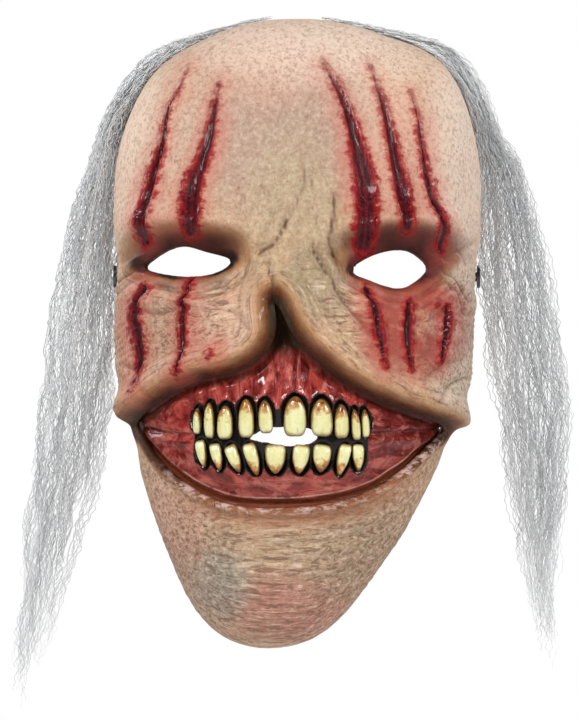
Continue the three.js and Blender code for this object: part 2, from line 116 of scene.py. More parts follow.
# Teeth: middle x and z, width, height, lean in degrees.
UPPER_TEETH = [
    (-42.3, -62.6, 3.6, 11, 0), (-37.1, -62.2, 4.6, 14.6, 0), (-30.5, -63, 6.6, 14.4, 0),
    (-21.6, -61.3, 6.9, 15.6, 0), (-13.5, -60.8, 5.9, 14.2, 3), (-0.9, -60.6, 9.8, 16.2, 0),
    (10.4, -61.1, 9, 15.8, 0), (18.8, -62.6, 6.2, 14, 2), (24.7, -64, 3.9, 12.6, 4), (28.8, -63.6, 3.4, 12, 4),
]
LOWER_TEETH = [
    (-40.5, -76.6, 4.4, 11.4, 12), (-34.1, -77.9, 4.8, 11.2, 12), (-26.8, -78.8, 5.2, 12.2, 22),
    (-19, -79, 5.8, 13.4, 16), (-9.3, -79, 8.2, 12.6, 0), (1.4, -79, 7.2, 11.8, -6), (10.4, -78.6, 7.4, 11.8, -6),
    (19.4, -79.2, 5.2, 13.4, -12), (26, -78.2, 5, 11, 0),
]
TOOTH_THICKNESS = 5.2
SOCKET_DEPTH = 2.2  # how deep a tooth's back stands in the gum
GUM_SEAMS = [[(-71, -66), (-56, -69), (-45, -69.5)], [(31, -69), (46, -68.5), (64, -67.8)]]

# Slashes: points down each one as x, z, half width.
SLASHES = [
    [(-47, 90, 0.3), (-51, 80, 0.5), (-55.7, 71.8, 0.8), (-57.9, 57.4, 1.2), (-62, 44, 2),
     (-64.8, 30.9, 2.6), (-65.5, 15, 2.6)],
    [(-33.5, 82, 0.4), (-35.7, 71.8, 1.4), (-37.9, 58.7, 2.1), (-41.3, 47.4, 2.8),
     (-45.2, 37.4, 4.0), (-44.8, 27, 4.2), (-45, 18, 3.2)],
    [(10.9, 92, 0.6), (17.4, 81, 1.8), (21.8, 69.6, 2.2), (25.2, 57.4, 3), (28.7, 41.8, 4.6),
     (29.6, 30.9, 5), (28.7, 12, 4.4)],
    [(30.9, 91, 0.4), (35.2, 79.6, 1.2), (38.7, 66.6, 1.8), (41.8, 50.9, 2.4), (45.2, 35.2, 3.4), (46.5, 19.6, 2.6)],
    [(48.7, 78.7, 0.3), (51.8, 68.7, 0.6), (53.9, 53.1, 1), (56.2, 40, 1.5), (58.2, 30.9, 1.8),
     (61.3, 19.6, 1.6), (62, 10, 1)],
    [(-65.5, -6, 1.8), (-70, -14, 1.9), (-69.5, -24, 2.7), (-67.4, -36, 1.9), (-68.6, -48, 0.5)],
    [(-44.8, -2, 0.9), (-47.4, -9.1, 1.2), (-49.2, -20.4, 1.5), (-48.9, -31.8, 1.3), (-49.6, -43, 0.5)],
    [(28.7, -6, 1.2), (33, -16, 1.8), (35.2, -26, 1.6), (37.6, -39, 0.6)],
    [(47.4, -13, 1.6), (47.4, -26, 2.1), (48.8, -41, 0.6)],
    [(64.2, -14, 1.3), (64.6, -22.6, 1.9), (61.6, -38, 0.5)],
]
# Smears of paint beside the slashes: x, z, radius.
SMEARS = [(-64.5, -7, 4), (57.8, 38, 4.5), (30, 22, 5), (-44, 24, 4.5), (48, -22, 3.5), (59, -13, 2.5), (-36, -34, 2)]

# Creases: points along each one as x, z, then its half width and depth.
CREASES = [
    ([(-3.9, 24), (-6, 19), (-9.5, 13.6), (-13, 10.4), (-17.2, 8.7)], 1.1, 1.8),
    ([(-13, 3), (-10.9, -2), (-9.8, -7), (-9.3, -13)], 1.1, 1.9),
    ([(1.8, 51), (3.0, 40), (0.5, 32), (-1.5, 26)], 0.7, 1.2),
    ([(6.9, 41), (5.4, 32), (7.9, 24), (6.9, 12)], 0.8, 1.0),
    ([(16.2, 34), (15.1, 23), (14.1, 11.5), (19.7, 1)], 1.1, 1.8),
    ([(20.5, 30), (19.8, 20), (21, 10)], 0.8, 1.0),
    ([(6.9, 9.5), (11, 2.3), (21.3, -14), (33, -25.5)], 1.1, 1.6),
    ([(14.1, 9.5), (17.2, 3.3), (23.3, -5), (33, -11)], 0.9, 1.3),
    ([(0, 6), (4.5, -3), (12, -15), (20, -24)], 0.8, 0.9),
    ([(-16, 38), (-12.5, 31), (-11, 24)], 0.8, 0.8),
    ([(-27, 42), (-24, 33), (-25, 24)], 0.9, 0.8),
    ([(-20, 5), (-24, -2), (-32, -8), (-44, -11)], 0.9, 1.2),
    ([(-69, -15.5), (-62, -17), (-55.7, -16.2), (-46, -14)], 1.0, 1.1),
    ([(-60, -6), (-50, -8.5), (-40, -8), (-32, -4)], 1.0, 1.1),
    ([(-80, -4.5), (-73, 0), (-66, 1.6)], 0.9, 1.3),
    ([(-79, -8.5), (-72, -3.5), (-66, -2)], 0.8, 1.0),
    ([(26, -5), (36, -11), (48, -12.5), (60, -6.5)], 1.2, 1.4),
    ([(30, -10), (42, -15.5), (54, -14.5), (66, -6)], 0.9, 1.0),
    ([(62.3, 0.8), (67.5, -1.8), (74.7, -12)], 0.9, 1.3),
    ([(63, -3.5), (69, -8), (72.5, -17)], 0.8, 1.1),
    ([(64, 7), (71, 11), (77, 14)], 0.8, 0.9),
    ([(61, 22), (68, 14), (74, 4)], 0.8, 0.8),
    ([(-36, -14), (-27, -17), (-20, -24)], 0.8, 0.7),
    ([(-62, -52), (-68, -44), (-75, -40)], 0.9, 0.9),
    ([(58, -54), (66, -48), (74, -45)], 1.0, 1.0),
    ([(54, -46), (62, -40), (72, -37)], 0.8, 0.8),
    ([(-50, -120), (-20, -124), (10, -123), (34, -116)], 1.0, 0.5),
    ([(-44, -128), (-16, -133), (14, -131), (30, -124)], 1.0, 0.4),
    ([(-40, -112), (-10, -116), (24, -113), (44, -104)], 0.9, 0.5),
    ([(22, -126), (34, -120), (44, -110)], 0.8, 0.6),
]
FINEST_CREASE = 0.95  # a narrower half width would fall between the facets


def catmull_rom(a, b, c, d, t):
    """The point at share t of the way from b to c, on a smooth curve through a, b, c and d."""
    return b + 0.5 * t * (c - a + t * (2 * a - 5 * b + 4 * c - d + t * (3 * (b - c) + d - a)))


def leaning(dx, dz, lean):
    """The offsets dx and dz measured along axes that lean by so many degrees."""
    c, s = math.cos(math.radians(lean)), math.sin(math.radians(lean))
    return dx * c + dz * s, dz * c - dx * s


def silhouette_radius(angle):
    """Distance from the face's middle to its silhouette: SILHOUETTE's factor times the ellipse's own radius."""
    n = len(SILHOUETTE)
    place = (angle / (2 * math.pi) * n) % n
    i = np.floor(place).astype(int)
    factor = catmull_rom(*(SILHOUETTE[(i + k) % n] for k in (-1, 0, 1, 2)), place - i)
    return factor / np.hypot(np.cos(angle) / (FACE_WIDTH / 2), np.sin(angle) / (FACE_HEIGHT / 2))


def by_direction(sizes, angle):
    """One of a size's values for the side, top and bottom, blended round the face."""
    c = np.cos(angle) ** 2
    return sizes["side"] * c + np.where(np.sin(angle) > 0, sizes["top"], sizes["bottom"]) * (1 - c)


def bump(soft_rise, x, z):
    cx, cz, half_w, half_h, lean, rise = soft_rise
    u, v = leaning(x - cx, z - cz, lean)
    u, v = u / half_w, v / half_h
    return rise * np.exp(-(u * u + v * v))


def form(s, angle):
    """Points and normals of the bare form: s is 0 in the middle of the face, 1 at the silhouette, 2 at the cut edge."""
    radius = silhouette_radius(angle)
    depth = by_direction(DOME_DEPTH, angle)
    turn = np.minimum(s, 1) * math.pi / 2
    out = np.sin(turn) ** (2 / DOME_ROUNDNESS)
    forward = np.maximum(np.cos(turn), 0) ** (2 / DOME_ROUNDNESS)
    forward = np.where(s >= 1, 0, forward)
    wall = np.maximum(s - 1, 0)
    c, sn = np.cos(angle), np.sin(angle)
    tuck = 1 - 0.03 * sn * sn * wall
    points = np.stack([
        c * radius * out * tuck,
        FRONT_Y + depth * (1 - forward) + by_direction(WALL_RUN, angle) * wall,
        FACE_Z + sn * radius * out * tuck,
    ], -1)
    radial = np.where(s >= 1, 1, out ** (DOME_ROUNDNESS - 1) / radius)
    ahead = np.where(s >= 1, 0, forward ** (DOME_ROUNDNESS - 1) / depth)
    normals = np.stack([c * radial, -ahead, sn * radial], -1)
    return points, normals / np.linalg.norm(normals, axis=-1, keepdims=True), wall


def skin_rise(x, z, wall):
    total = sum(bump(b, x, z) for b in RELIEF) + bump(JAWS, x, z)
    return total * np.maximum(0, 1 - wall * 2.5)


def gum_rise(x, z):
    under = skin_rise(x, z, 0 * x) - SKIN_WALL - 0.35
    return np.minimum(under, bump(JAWS, x, z) + bump(ARCH, x, z) - GUM_RECESS)


def form_behind(x, z):
    """The bare form straight behind places x, z on the face."""
    angle = np.arctan2(z - FACE_Z, x)
    out = np.minimum(np.hypot(x, z - FACE_Z) / silhouette_radius(angle), 1)
    s = np.arcsin(np.minimum(out ** (DOME_ROUNDNESS / 2), 1)) * 2 / math.pi
    return form(s, angle)


# ---------------------------------------------------------------- drawing on the face
def smooth_line(points, closed, per_span=8):
    """A Catmull-Rom line through points, with any number of columns."""
    p = np.array(points, float)
    n = len(p)
    spans = n if closed else n - 1
    take = (lambda k: p[k % n]) if closed else (lambda k: p[min(max(k, 0), n - 1)])
    line = []
    for i in range(spans):
        corners = [take(i + k) for k in (-1, 0, 1, 2)]
        line += [catmull_rom(*corners, t) for t in np.arange(per_span) / per_span]
    if not closed:
        line.append(p[-1])
    return np.array(line)


def distance_to_line(x, z, line, closed=False):
    """Distance to the line, and the line's extra columns at the nearest point."""
    ends = np.roll(line, -1, 0) if closed else line[1:]
    starts = line if closed else line[:-1]
    best = np.full(x.shape, 1e9)
    extra = np.zeros(x.shape + (line.shape[1] - 2,))
    for a, b in zip(starts, ends):
        dx, dz = b[0] - a[0], b[1] - a[1]
        t = np.clip(((x - a[0]) * dx + (z - a[1]) * dz) / (dx * dx + dz * dz + 1e-12), 0, 1)
        d = np.hypot(x - a[0] - t * dx, z - a[1] - t * dz)
        nearer = d < best
        best = np.where(nearer, d, best)
        for k in range(extra.shape[-1]):
            extra[..., k] = np.where(nearer, a[2 + k] + t * (b[2 + k] - a[2 + k]), extra[..., k])
    return best, extra


def signed_distance(x, z, outline):
    """Distance to a closed outline, negative inside."""
    d, _ = distance_to_line(x, z, outline, closed=True)
    inside = np.zeros(x.shape, bool)
    for a, b in zip(outline, np.roll(outline, -1, 0)):
        crosses = (a[1] > z) != (b[1] > z)
        with np.errstate(divide="ignore", invalid="ignore"):
            at = a[0] + (z - a[1]) * (b[0] - a[0]) / (b[1] - a[1] + 1e-12)
        inside ^= crosses & (x < at)
    return np.where(inside, -d, d)


mouth_outline = smooth_line(MOUTH, True, 6)
eye_outlines = [smooth_line(EYE_RIGHT, True), smooth_line(EYE_LEFT, True)]
gap_outline = smooth_line(MOUTH_GAP, True)


def wobble(x, z, wavelength, seed=0.0):
    """A smooth irregular wave from -1 to 1, for ragged edges."""
    k = 2 * math.pi / wavelength
    return (np.sin(k * x + seed) * np.cos(k * 0.83 * z + 1.7 * seed)
            + 0.6 * np.sin(k * 1.9 * z + 0.7 * k * x + 2.3 * seed)
            + 0.4 * np.sin(k * 2.7 * x - 1.3 * k * z + 3.1 * seed)) / 2


def ramp(value, low, high):
    t = np.clip((value - low) / (high - low), 0, 1)
    return t * t * (3 - 2 * t)


def ridge(value, width):
    """A round ridge: 1 where the value is 0, fading over a width."""
    return np.exp(-(value / width) ** 2)


def slash_fields(x, z):
    """How far inside the nearest slash a place is in mm, and the share of the way to its middle."""
    inside = np.full(x.shape, -40.0)
    core = np.full(x.shape, -4.0)
    for slash in SLASHES:
        d, half = distance_to_line(x, z, smooth_line(slash, False, 5))
        half = np.maximum(half[..., 0], 0.3)
        ragged = d + 0.45 * wobble(x, z, 5.0, len(slash)) + 0.35 * wobble(x, z, 2.3, 1.3 * len(slash))
        inside = np.maximum(inside, half - ragged)
        core = np.maximum(core, 1 - d / half)
    for sx, sz, r in SMEARS:
        inside = np.maximum(inside, r * 0.35 - np.hypot(x - sx, z - sz) + 1.2 * wobble(x, z, 4, r))
    return inside, core


def skin_detail(x, z, wall):
    """Fine relief of the skin in mm and the fields that its paint follows."""
    mouth = signed_distance(x, z, mouth_outline)
    mouth_ragged = mouth + 0.5 * wobble(x, z, 9, 1.0) * ramp(-z, 60, 80)
    eyes = np.minimum(*(signed_distance(x, z, o) for o in eye_outlines))
    slash, core = slash_fields(x, z)
    span = np.abs(x - EYES_MIDDLE_X)
    rise = np.zeros(x.shape)
    upper = ramp(z, -72, -62)  # 1 along the hanging cheek folds, 0 along the lower lip
    # The cheek folds swell along their torn edge and roll under it.
    swell = 5.4 * ridge(mouth - 8.2 - 0.8 * wobble(x, z, 34, 2), 5.6)
    rise += upper * (swell - 2.6 * ridge(np.maximum(mouth, 0), 2.6))
    # The lower lip is a thin curled tear with a groove under it.
    curl = (1.0 + 0.45 * wobble(x, z, 13, 5)) * ramp(-span, -68, -54)
    rise += (1 - upper) * (1.7 * curl * ridge(mouth_ragged - 1.7, 1.2) - 0.9 * ridge(mouth - 5, 2.4))
    # Lids thicken round the eye holes, under the overhanging brows.
    rise += 1.5 * ridge(eyes - 3.4, 2.2) - 1.5 * np.exp(-np.maximum(eyes, 0) / 1.2)
    brow_z = 21.5 - 0.0042 * (span - 44) ** 2
    brow = ridge(z - brow_z, np.where(z > brow_z, 10.0, 4.2)) * ramp(span, 12, 26) * ramp(-span, -78, -66)
    under = ridge(z - brow_z + 8.5, 3.6) * ramp(span, 16, 28) * ramp(-span, -74, -64)
    rise += 4.6 * brow - 1.6 * under * ramp(eyes, 0.5, 3)
    # Bags under the eyes.
    bag_z = -12 + 0.004 * (span - 46) ** 2
    rise += 1.6 * ridge(z - bag_z, 3.2) * ramp(span, 22, 34) * ramp(-span, -72, -60)
    crease = np.zeros(x.shape)
    for points, half, depth in CREASES:
        d, _ = distance_to_line(x, z, smooth_line(points, False, 6))
        d, half = d + 0.2 * wobble(x, z, 11, half), max(half, FINEST_CREASE)
        rise += -depth * ridge(d, half) + 0.7 * depth * ridge(d - 3.2 * half, 2.0 * half)
        crease = np.maximum(crease, min(0.6 * depth, 1.1) * ridge(d, 0.85 * half))
    # Slashes are cut in, with torn raised edges and strands down their middle.
    cut = ramp(core, 0, 0.9)
    rise += -1.6 * cut * ramp(slash, -0.2, 1.5) + 0.8 * ridge(slash + 0.3, 0.7)
    rise += 0.4 * cut * np.sin(x * 3.1 + 1.5 * np.sin(z * 0.21)) * ramp(slash, 0.2, 1)
    # Wrinkles lie side by side along the torn edge on the cheeks and chin, and round the eyes.
    flow = mouth + 1.5 * wobble(x, z, 31, 2)
    patches = ramp(wobble(x, z, 23, 4), -0.6, 0.3)
    cheeks = ramp(-z, -14, 0) * ramp(z, -70, -56) * ramp(np.abs(x + 2), 8, 18)
    rise += 0.20 * cheeks * patches * np.sin(flow * 2.4)
    chin = ramp(-z, 98, 108) * ramp(z, -156, -146)
    rise += 0.22 * chin * patches * np.sin((flow + 0.5 * wobble(x, z, 12, 3)) * 2.2)
    lids = ramp(-eyes, -13, -4) * ramp(eyes, 1.5, 4) * ramp(-z, -8, 2)
    rise += 0.22 * lids * np.sin((eyes + 0.9 * wobble(x, z, 19, 1)) * 3.0)
    bridge = ridge(x + 2, 20) * ridge(z - 12, 26)
    frown = np.sin(x * 1.5 + 1.4 * wobble(x, z, 22, 8)) * ramp(z, 4, 22)
    rise += 0.5 * bridge * wobble(x, z, 9, 5) + 0.35 * bridge * frown
    temple = ramp(span, 50, 64) * ramp(z, -10, 2) * ramp(-z, -50, -30)
    fan = np.sin((z + 0.5 * np.abs(x)) * 1.7 + 1.6 * wobble(x, z, 15, 6))
    rise += 0.3 * temple * fan * ramp(wobble(x, z, 13, 9), -0.6, 0.4)
    rise += 0.12 * wobble(x, z, 12, 11)
    front = np.maximum(0, 1 - wall * 3)
    fields = {"mouth": mouth, "eyes": eyes, "slash": slash, "core": core, "crease": crease}
    return np.maximum(rise, -2.2) * front, fields


# ---------------------------------------------------------------- mesh helpers
CLOSE_TO_CUT = 0.25  # share of an edge within which its end is moved onto the cut


def directed_edges(triangles):
    return np.concatenate([triangles[:, [0, 1]], triangles[:, [1, 2]], triangles[:, [2, 0]]])


def clip_triangles(points, triangles, fields, keep):
    """Cuts a triangle mesh along keep == 0 and leaves the side where it is positive. A vertex close to the cut is moved
    onto it first, so no sliver is left. Columns of fields follow their vertices."""
    points, keep = points.copy(), keep.copy()
    data = {k: v.copy() for k, v in fields.items()}
    edges = np.unique(np.sort(directed_edges(triangles), 1), axis=0)
    crossing = edges[(keep[edges[:, 0]] > 0) != (keep[edges[:, 1]] > 0)]
    t = keep[crossing[:, 0]] / (keep[crossing[:, 0]] - keep[crossing[:, 1]])
    moved = np.zeros(len(points), bool)
    for ends, share in ((crossing, t), (crossing[:, ::-1], 1 - t)):
        close = share < CLOSE_TO_CUT
        for (i, j), w in zip(ends[close], share[close]):
            if not moved[i]:
                points[i] += w * (points[j] - points[i])
                for v in data.values():
                    v[i] += w * (v[j] - v[i])
                keep[i] = 0.0
                moved[i] = True
    side = np.where(moved, 0, np.sign(keep))
    inside = (side[triangles] >= 0).all(1) & (side[triangles] > 0).any(1)
    out_triangles = [tuple(t) for t in triangles[inside]]
    mixed = triangles[(side[triangles] > 0).any(1) & (side[triangles] < 0).any(1)]
    new_points, new_data, cache = [], {k: [] for k in data}, {}

    def cut_point(i, j):
        key = (min(i, j), max(i, j))
        if key not in cache:
            w = keep[i] / (keep[i] - keep[j])
            cache[key] = len(points) + len(new_points)
            new_points.append(points[i] + w * (points[j] - points[i]))
            for k, v in data.items():
                new_data[k].append(v[i] + w * (v[j] - v[i]))
        return cache[key]

    for corner in mixed:
        ring = []
        for a, b in zip(corner, np.roll(corner, -1)):
            if side[a] >= 0:
                ring.append(int(a))
            if side[a] * side[b] < 0:
                ring.append(cut_point(int(a), int(b)))
        out_triangles += [(ring[0], ring[k], ring[k + 1]) for k in range(1, len(ring) - 1)]
    if new_points:
        points = np.vstack([points, new_points])
        data = {k: np.concatenate([v, new_data[k]]) for k, v in data.items()}
    used, flat = np.unique(np.array(out_triangles), return_inverse=True)
    return points[used], flat.reshape(-1, 3), {k: v[used] for k, v in data.items()}


def shell(outer, inner, triangles):
    """One closed body from an outer and an inner layer that share triangles, walled along their open edges."""
    n = len(outer)
    directed = directed_edges(triangles)
    keys = directed[:, 0] * n + directed[:, 1]
    reverse = directed[:, 1] * n + directed[:, 0]
    rim = directed[~np.isin(keys, reverse)]
    a, b = rim[:, 0], rim[:, 1]
    walls = np.concatenate([np.stack([b, a, a + n], 1), np.stack([b, a + n, b + n], 1)])
    return np.vstack([outer, inner]), np.concatenate([triangles, triangles[:, ::-1] + n, walls])


def grid_squares(columns, rows):
    """The corners of a grid's squares, and which of them are even, as on a chessboard."""
    i, j = (v.ravel() for v in np.meshgrid(np.arange(columns), np.arange(rows), indexing="ij"))
    n = rows + 1
    return np.stack([i * n + j, (i + 1) * n + j, (i + 1) * n + j + 1, i * n + j + 1], 1), (i + j) % 2 == 0


def make_object(name, points, faces, fields=None):
    """A mesh object from points in millimetres, with float attributes."""
    mesh = bpy.data.meshes.new(name)
    mesh.from_pydata((np.asarray(points) * MM).tolist(), [], faces)
    for key, values in (fields or {}).items():
        mesh.attributes.new(key, "FLOAT", "POINT").data.foreach_set("value", np.asarray(values, np.float32))
    mesh.shade_smooth()
    obj = bpy.data.objects.new(name, mesh)
    bpy.context.scene.collection.objects.link(obj)
    return obj


def bake_modifiers(obj):
    """Gives the object its mesh with the modifiers applied, and takes the modifiers off."""
    depsgraph = bpy.context.evaluated_depsgraph_get()
    mesh = bpy.data.meshes.new_from_object(
        obj.evaluated_get(depsgraph), preserve_all_data_layers=True, depsgraph=depsgraph)
    obj.modifiers.clear()
    old, obj.data = obj.data, mesh
    bpy.data.meshes.remove(old)


def cast_shell(name, outer, inner, triangles, fields, keep, raw, back_share):
    """One closed piece from an outer and an inner layer, open where keep is negative. raw says from the fields how bare
    the inner layer is, and back_share is the share of the inner layer's faces that stays."""
    fields = {**fields, **{f"inner_{k}": inner[:, k] for k in range(3)}}
    outer, triangles, fields = clip_triangles(outer, triangles, fields, keep)
    inner = np.stack([fields.pop(f"inner_{k}") for k in range(3)], 1)
    points, faces = shell(outer, inner, triangles)
    both = {k: np.concatenate([v, v]) for k, v in fields.items()}
    both["raw"] = np.concatenate([np.zeros(len(outer)), raw(fields)])
    piece = make_object(name, points, faces.tolist(), both)
    back = piece.vertex_groups.new(name="back")
    back.add(list(range(len(outer), len(points))), 1.0, "REPLACE")
    thin = piece.modifiers.new("thin", "DECIMATE")
    thin.ratio = back_share
    thin.vertex_group = "back"
    thin.vertex_group_factor = 10.0
    bake_modifiers(piece)
    piece.vertex_groups.clear()
    return piece


# ---------------------------------------------------------------- material helpers
class Paint:
    """A short way to write a material's nodes. Its colour is laid on in layers, the last one on top."""

    SOCKETS = {
        "color": "Base Color", "rough": "Roughness", "metal": "Metallic", "normal": "Normal",
        "specular": "Specular IOR Level", "coat": "Coat Weight", "coat_rough": "Coat Roughness",
        "sheen": "Sheen Weight", "sheen_rough": "Sheen Roughness",
        "scatter": "Subsurface Weight", "scatter_scale": "Subsurface Scale", "scatter_radius": "Subsurface Radius",
    }

    def __init__(self, name):
        self.material = bpy.data.materials.new(name)
        self.material.use_nodes = True
        self.nodes = self.material.node_tree.nodes
        self.links = self.material.node_tree.links
        self.place = self.nodes.new("ShaderNodeTexCoord").outputs["Object"]
        self.color = None

    @cached_property
    def xyz(self):
        return self.parts(self.place)

    def put(self, socket, value):
        if isinstance(value, bpy.types.NodeSocket):
            self.links.new(value, socket)
        else:
            socket.default_value = value

    def finish(self, **values):
        """Sets the shader's sockets and gives the material."""
        shader = self.nodes["Principled BSDF"]
        for key, value in {"color": self.color, **values}.items():
            self.put(shader.inputs[self.SOCKETS[key]], value)
        return self.material

    def field(self, name):
        node = self.nodes.new("ShaderNodeAttribute")
        node.attribute_name = name
        return node.outputs["Fac"]

    def parts(self, vector):
        node = self.nodes.new("ShaderNodeSeparateXYZ")
        self.links.new(vector, node.inputs[0])
        return node.outputs

    def math(self, operation, a, b=0.0):
        node = self.nodes.new("ShaderNodeMath")
        node.operation = operation
        self.put(node.inputs[0], a)
        self.put(node.inputs[1], b)
        return node.outputs[0]

    def times(self, value, *others):
        for other in others:
            value = self.math("MULTIPLY", value, other)
        return value

    def most(self, value, *others):
        for other in others:
            value = self.math("MAXIMUM", value, other)
        return value

    def plus(self, a, b):
        return self.math("ADD", a, b)

    def minus(self, a, b):
        return self.math("SUBTRACT", a, b)

    def ragged(self, value, noise, size):
        """A value that a noise moves up and down by up to half of size."""
        return self.plus(value, self.times(self.minus(noise, 0.5), size))

    def stretched(self, vector, stretch, turn):
        mapping = self.nodes.new("ShaderNodeMapping")
        mapping.inputs["Scale"].default_value = stretch
        mapping.inputs["Rotation"].default_value = tuple(math.radians(a) for a in turn)
        self.links.new(vector or self.place, mapping.inputs["Vector"])
        return mapping.outputs[0]

    def noise(self, scale, detail=3.0, rough=0.55, stretch=(1, 1, 1), turn=(0, 0, 0), distortion=0.0, vector=None):
        node = self.nodes.new("ShaderNodeTexNoise")
        for key, value in (("Scale", scale), ("Detail", detail), ("Roughness", rough), ("Distortion", distortion)):
            node.inputs[key].default_value = value
        self.links.new(self.stretched(vector, stretch, turn), node.inputs["Vector"])
        return node.outputs["Fac"]

    def cells(self, scale, stretch=(1, 1, 1), turn=(0, 0, 0)):
        """Distance to the nearest of many scattered points."""
        node = self.nodes.new("ShaderNodeTexVoronoi")
        node.inputs["Scale"].default_value = scale
        self.links.new(self.stretched(None, stretch, turn), node.inputs["Vector"])
        return node.outputs["Distance"]

    def step(self, value, low, high, to_low=0.0, to_high=1.0):
        """A smooth step from to_low at low to to_high at high."""
        node = self.nodes.new("ShaderNodeMapRange")
        node.interpolation_type = "SMOOTHSTEP"
        self.put(node.inputs["Value"], value)
        if low > high:
            low, high, to_low, to_high = high, low, to_high, to_low
        for key, number in (("From Min", low), ("From Max", high), ("To Min", to_low), ("To Max", to_high)):
            node.inputs[key].default_value = number
        return node.outputs["Result"]

    def mix(self, share, a, b):
        node = self.nodes.new("ShaderNodeMix")
        node.data_type = "RGBA"
        self.put(node.inputs[0], share)
        for socket, value in ((node.inputs[6], a), (node.inputs[7], b)):
            self.put(socket, (*value, 1) if isinstance(value, tuple) else value)
        return node.outputs[2]

    def lay(self, color, share, *shares):
        """Lays a colour over what is there, by the product of shares."""
        self.color = self.mix(self.times(share, *shares), self.color, color)

    def spot(self, x, z, radius_x, radius_z):
        """1 at a place on the face, fading to 0 at its radius."""
        dx = self.math("DIVIDE", self.minus(self.xyz["X"], x * MM), radius_x * MM)
        dz = self.math("DIVIDE", self.minus(self.xyz["Z"], z * MM), radius_z * MM)
        return self.step(self.plus(self.times(dx, dx), self.times(dz, dz)), 1.0, 0.0)

    def bump(self, height, strength, distance, below=None):
        node = self.nodes.new("ShaderNodeBump")
        self.put(node.inputs["Strength"], strength)
        node.inputs["Distance"].default_value = distance * MM
        self.put(node.inputs["Height"], height)
        if below is not None:
            self.links.new(below, node.inputs["Normal"])
        return node.outputs["Normal"]


def grey(value):
    return (value, value, value)


# ---------------------------------------------------------------- skin
# Patches of colour on the skin: centre x and z, half width, half height, share, colour.
SKIN_PATCHES = [
    (4, 100, 100, 80, 0.9, (0.76, 0.56, 0.42)), (-72, 48, 26, 60, 0.8, (0.84, 0.63, 0.48)),  # pale crown and temples
    (74, 48, 26, 60, 0.8, (0.84, 0.68, 0.55)), (-6, 58, 52, 54, 0.95, (0.45, 0.31, 0.235)),  # brown forehead
    (-14, 92, 34, 26, 0.4, (0.74, 0.41, 0.30)), (-2, 24, 28, 50, 0.6, (0.47, 0.38, 0.22)),  # olive bridge
    (10, -4, 20, 26, 0.6, (0.31, 0.27, 0.17)), (-30, -22, 24, 18, 0.55, (0.66, 0.42, 0.30)),  # cheek folds
    (-60, 24, 20, 26, 0.4, (0.68, 0.38, 0.27)), (-8, -118, 80, 34, 0.6, (0.45, 0.32, 0.20)),  # tan chin
    (-4, -144, 38, 20, 0.75, (0.48, 0.19, 0.15)), (-33, -134, 17, 21, 0.7, (0.32, 0.33, 0.28)),  # red and blue chin
    (-58, -112, 22, 24, 0.5, (0.56, 0.25, 0.16)), (30, -122, 46, 28, 0.5, (0.40, 0.30, 0.20)),
    (-58, -136, 26, 40, 0.35, (0.44, 0.30, 0.27)), (74, -30, 20, 60, 0.75, (0.66, 0.55, 0.45)),
    # The pale patch high on the forehead, at x 4 and z 110, is partly a painted highlight.
    (4, 110, 72, 34, 0.6, (0.86, 0.70, 0.58)), (-50, -100, 20, 22, 0.6, (0.72, 0.44, 0.31)),
]


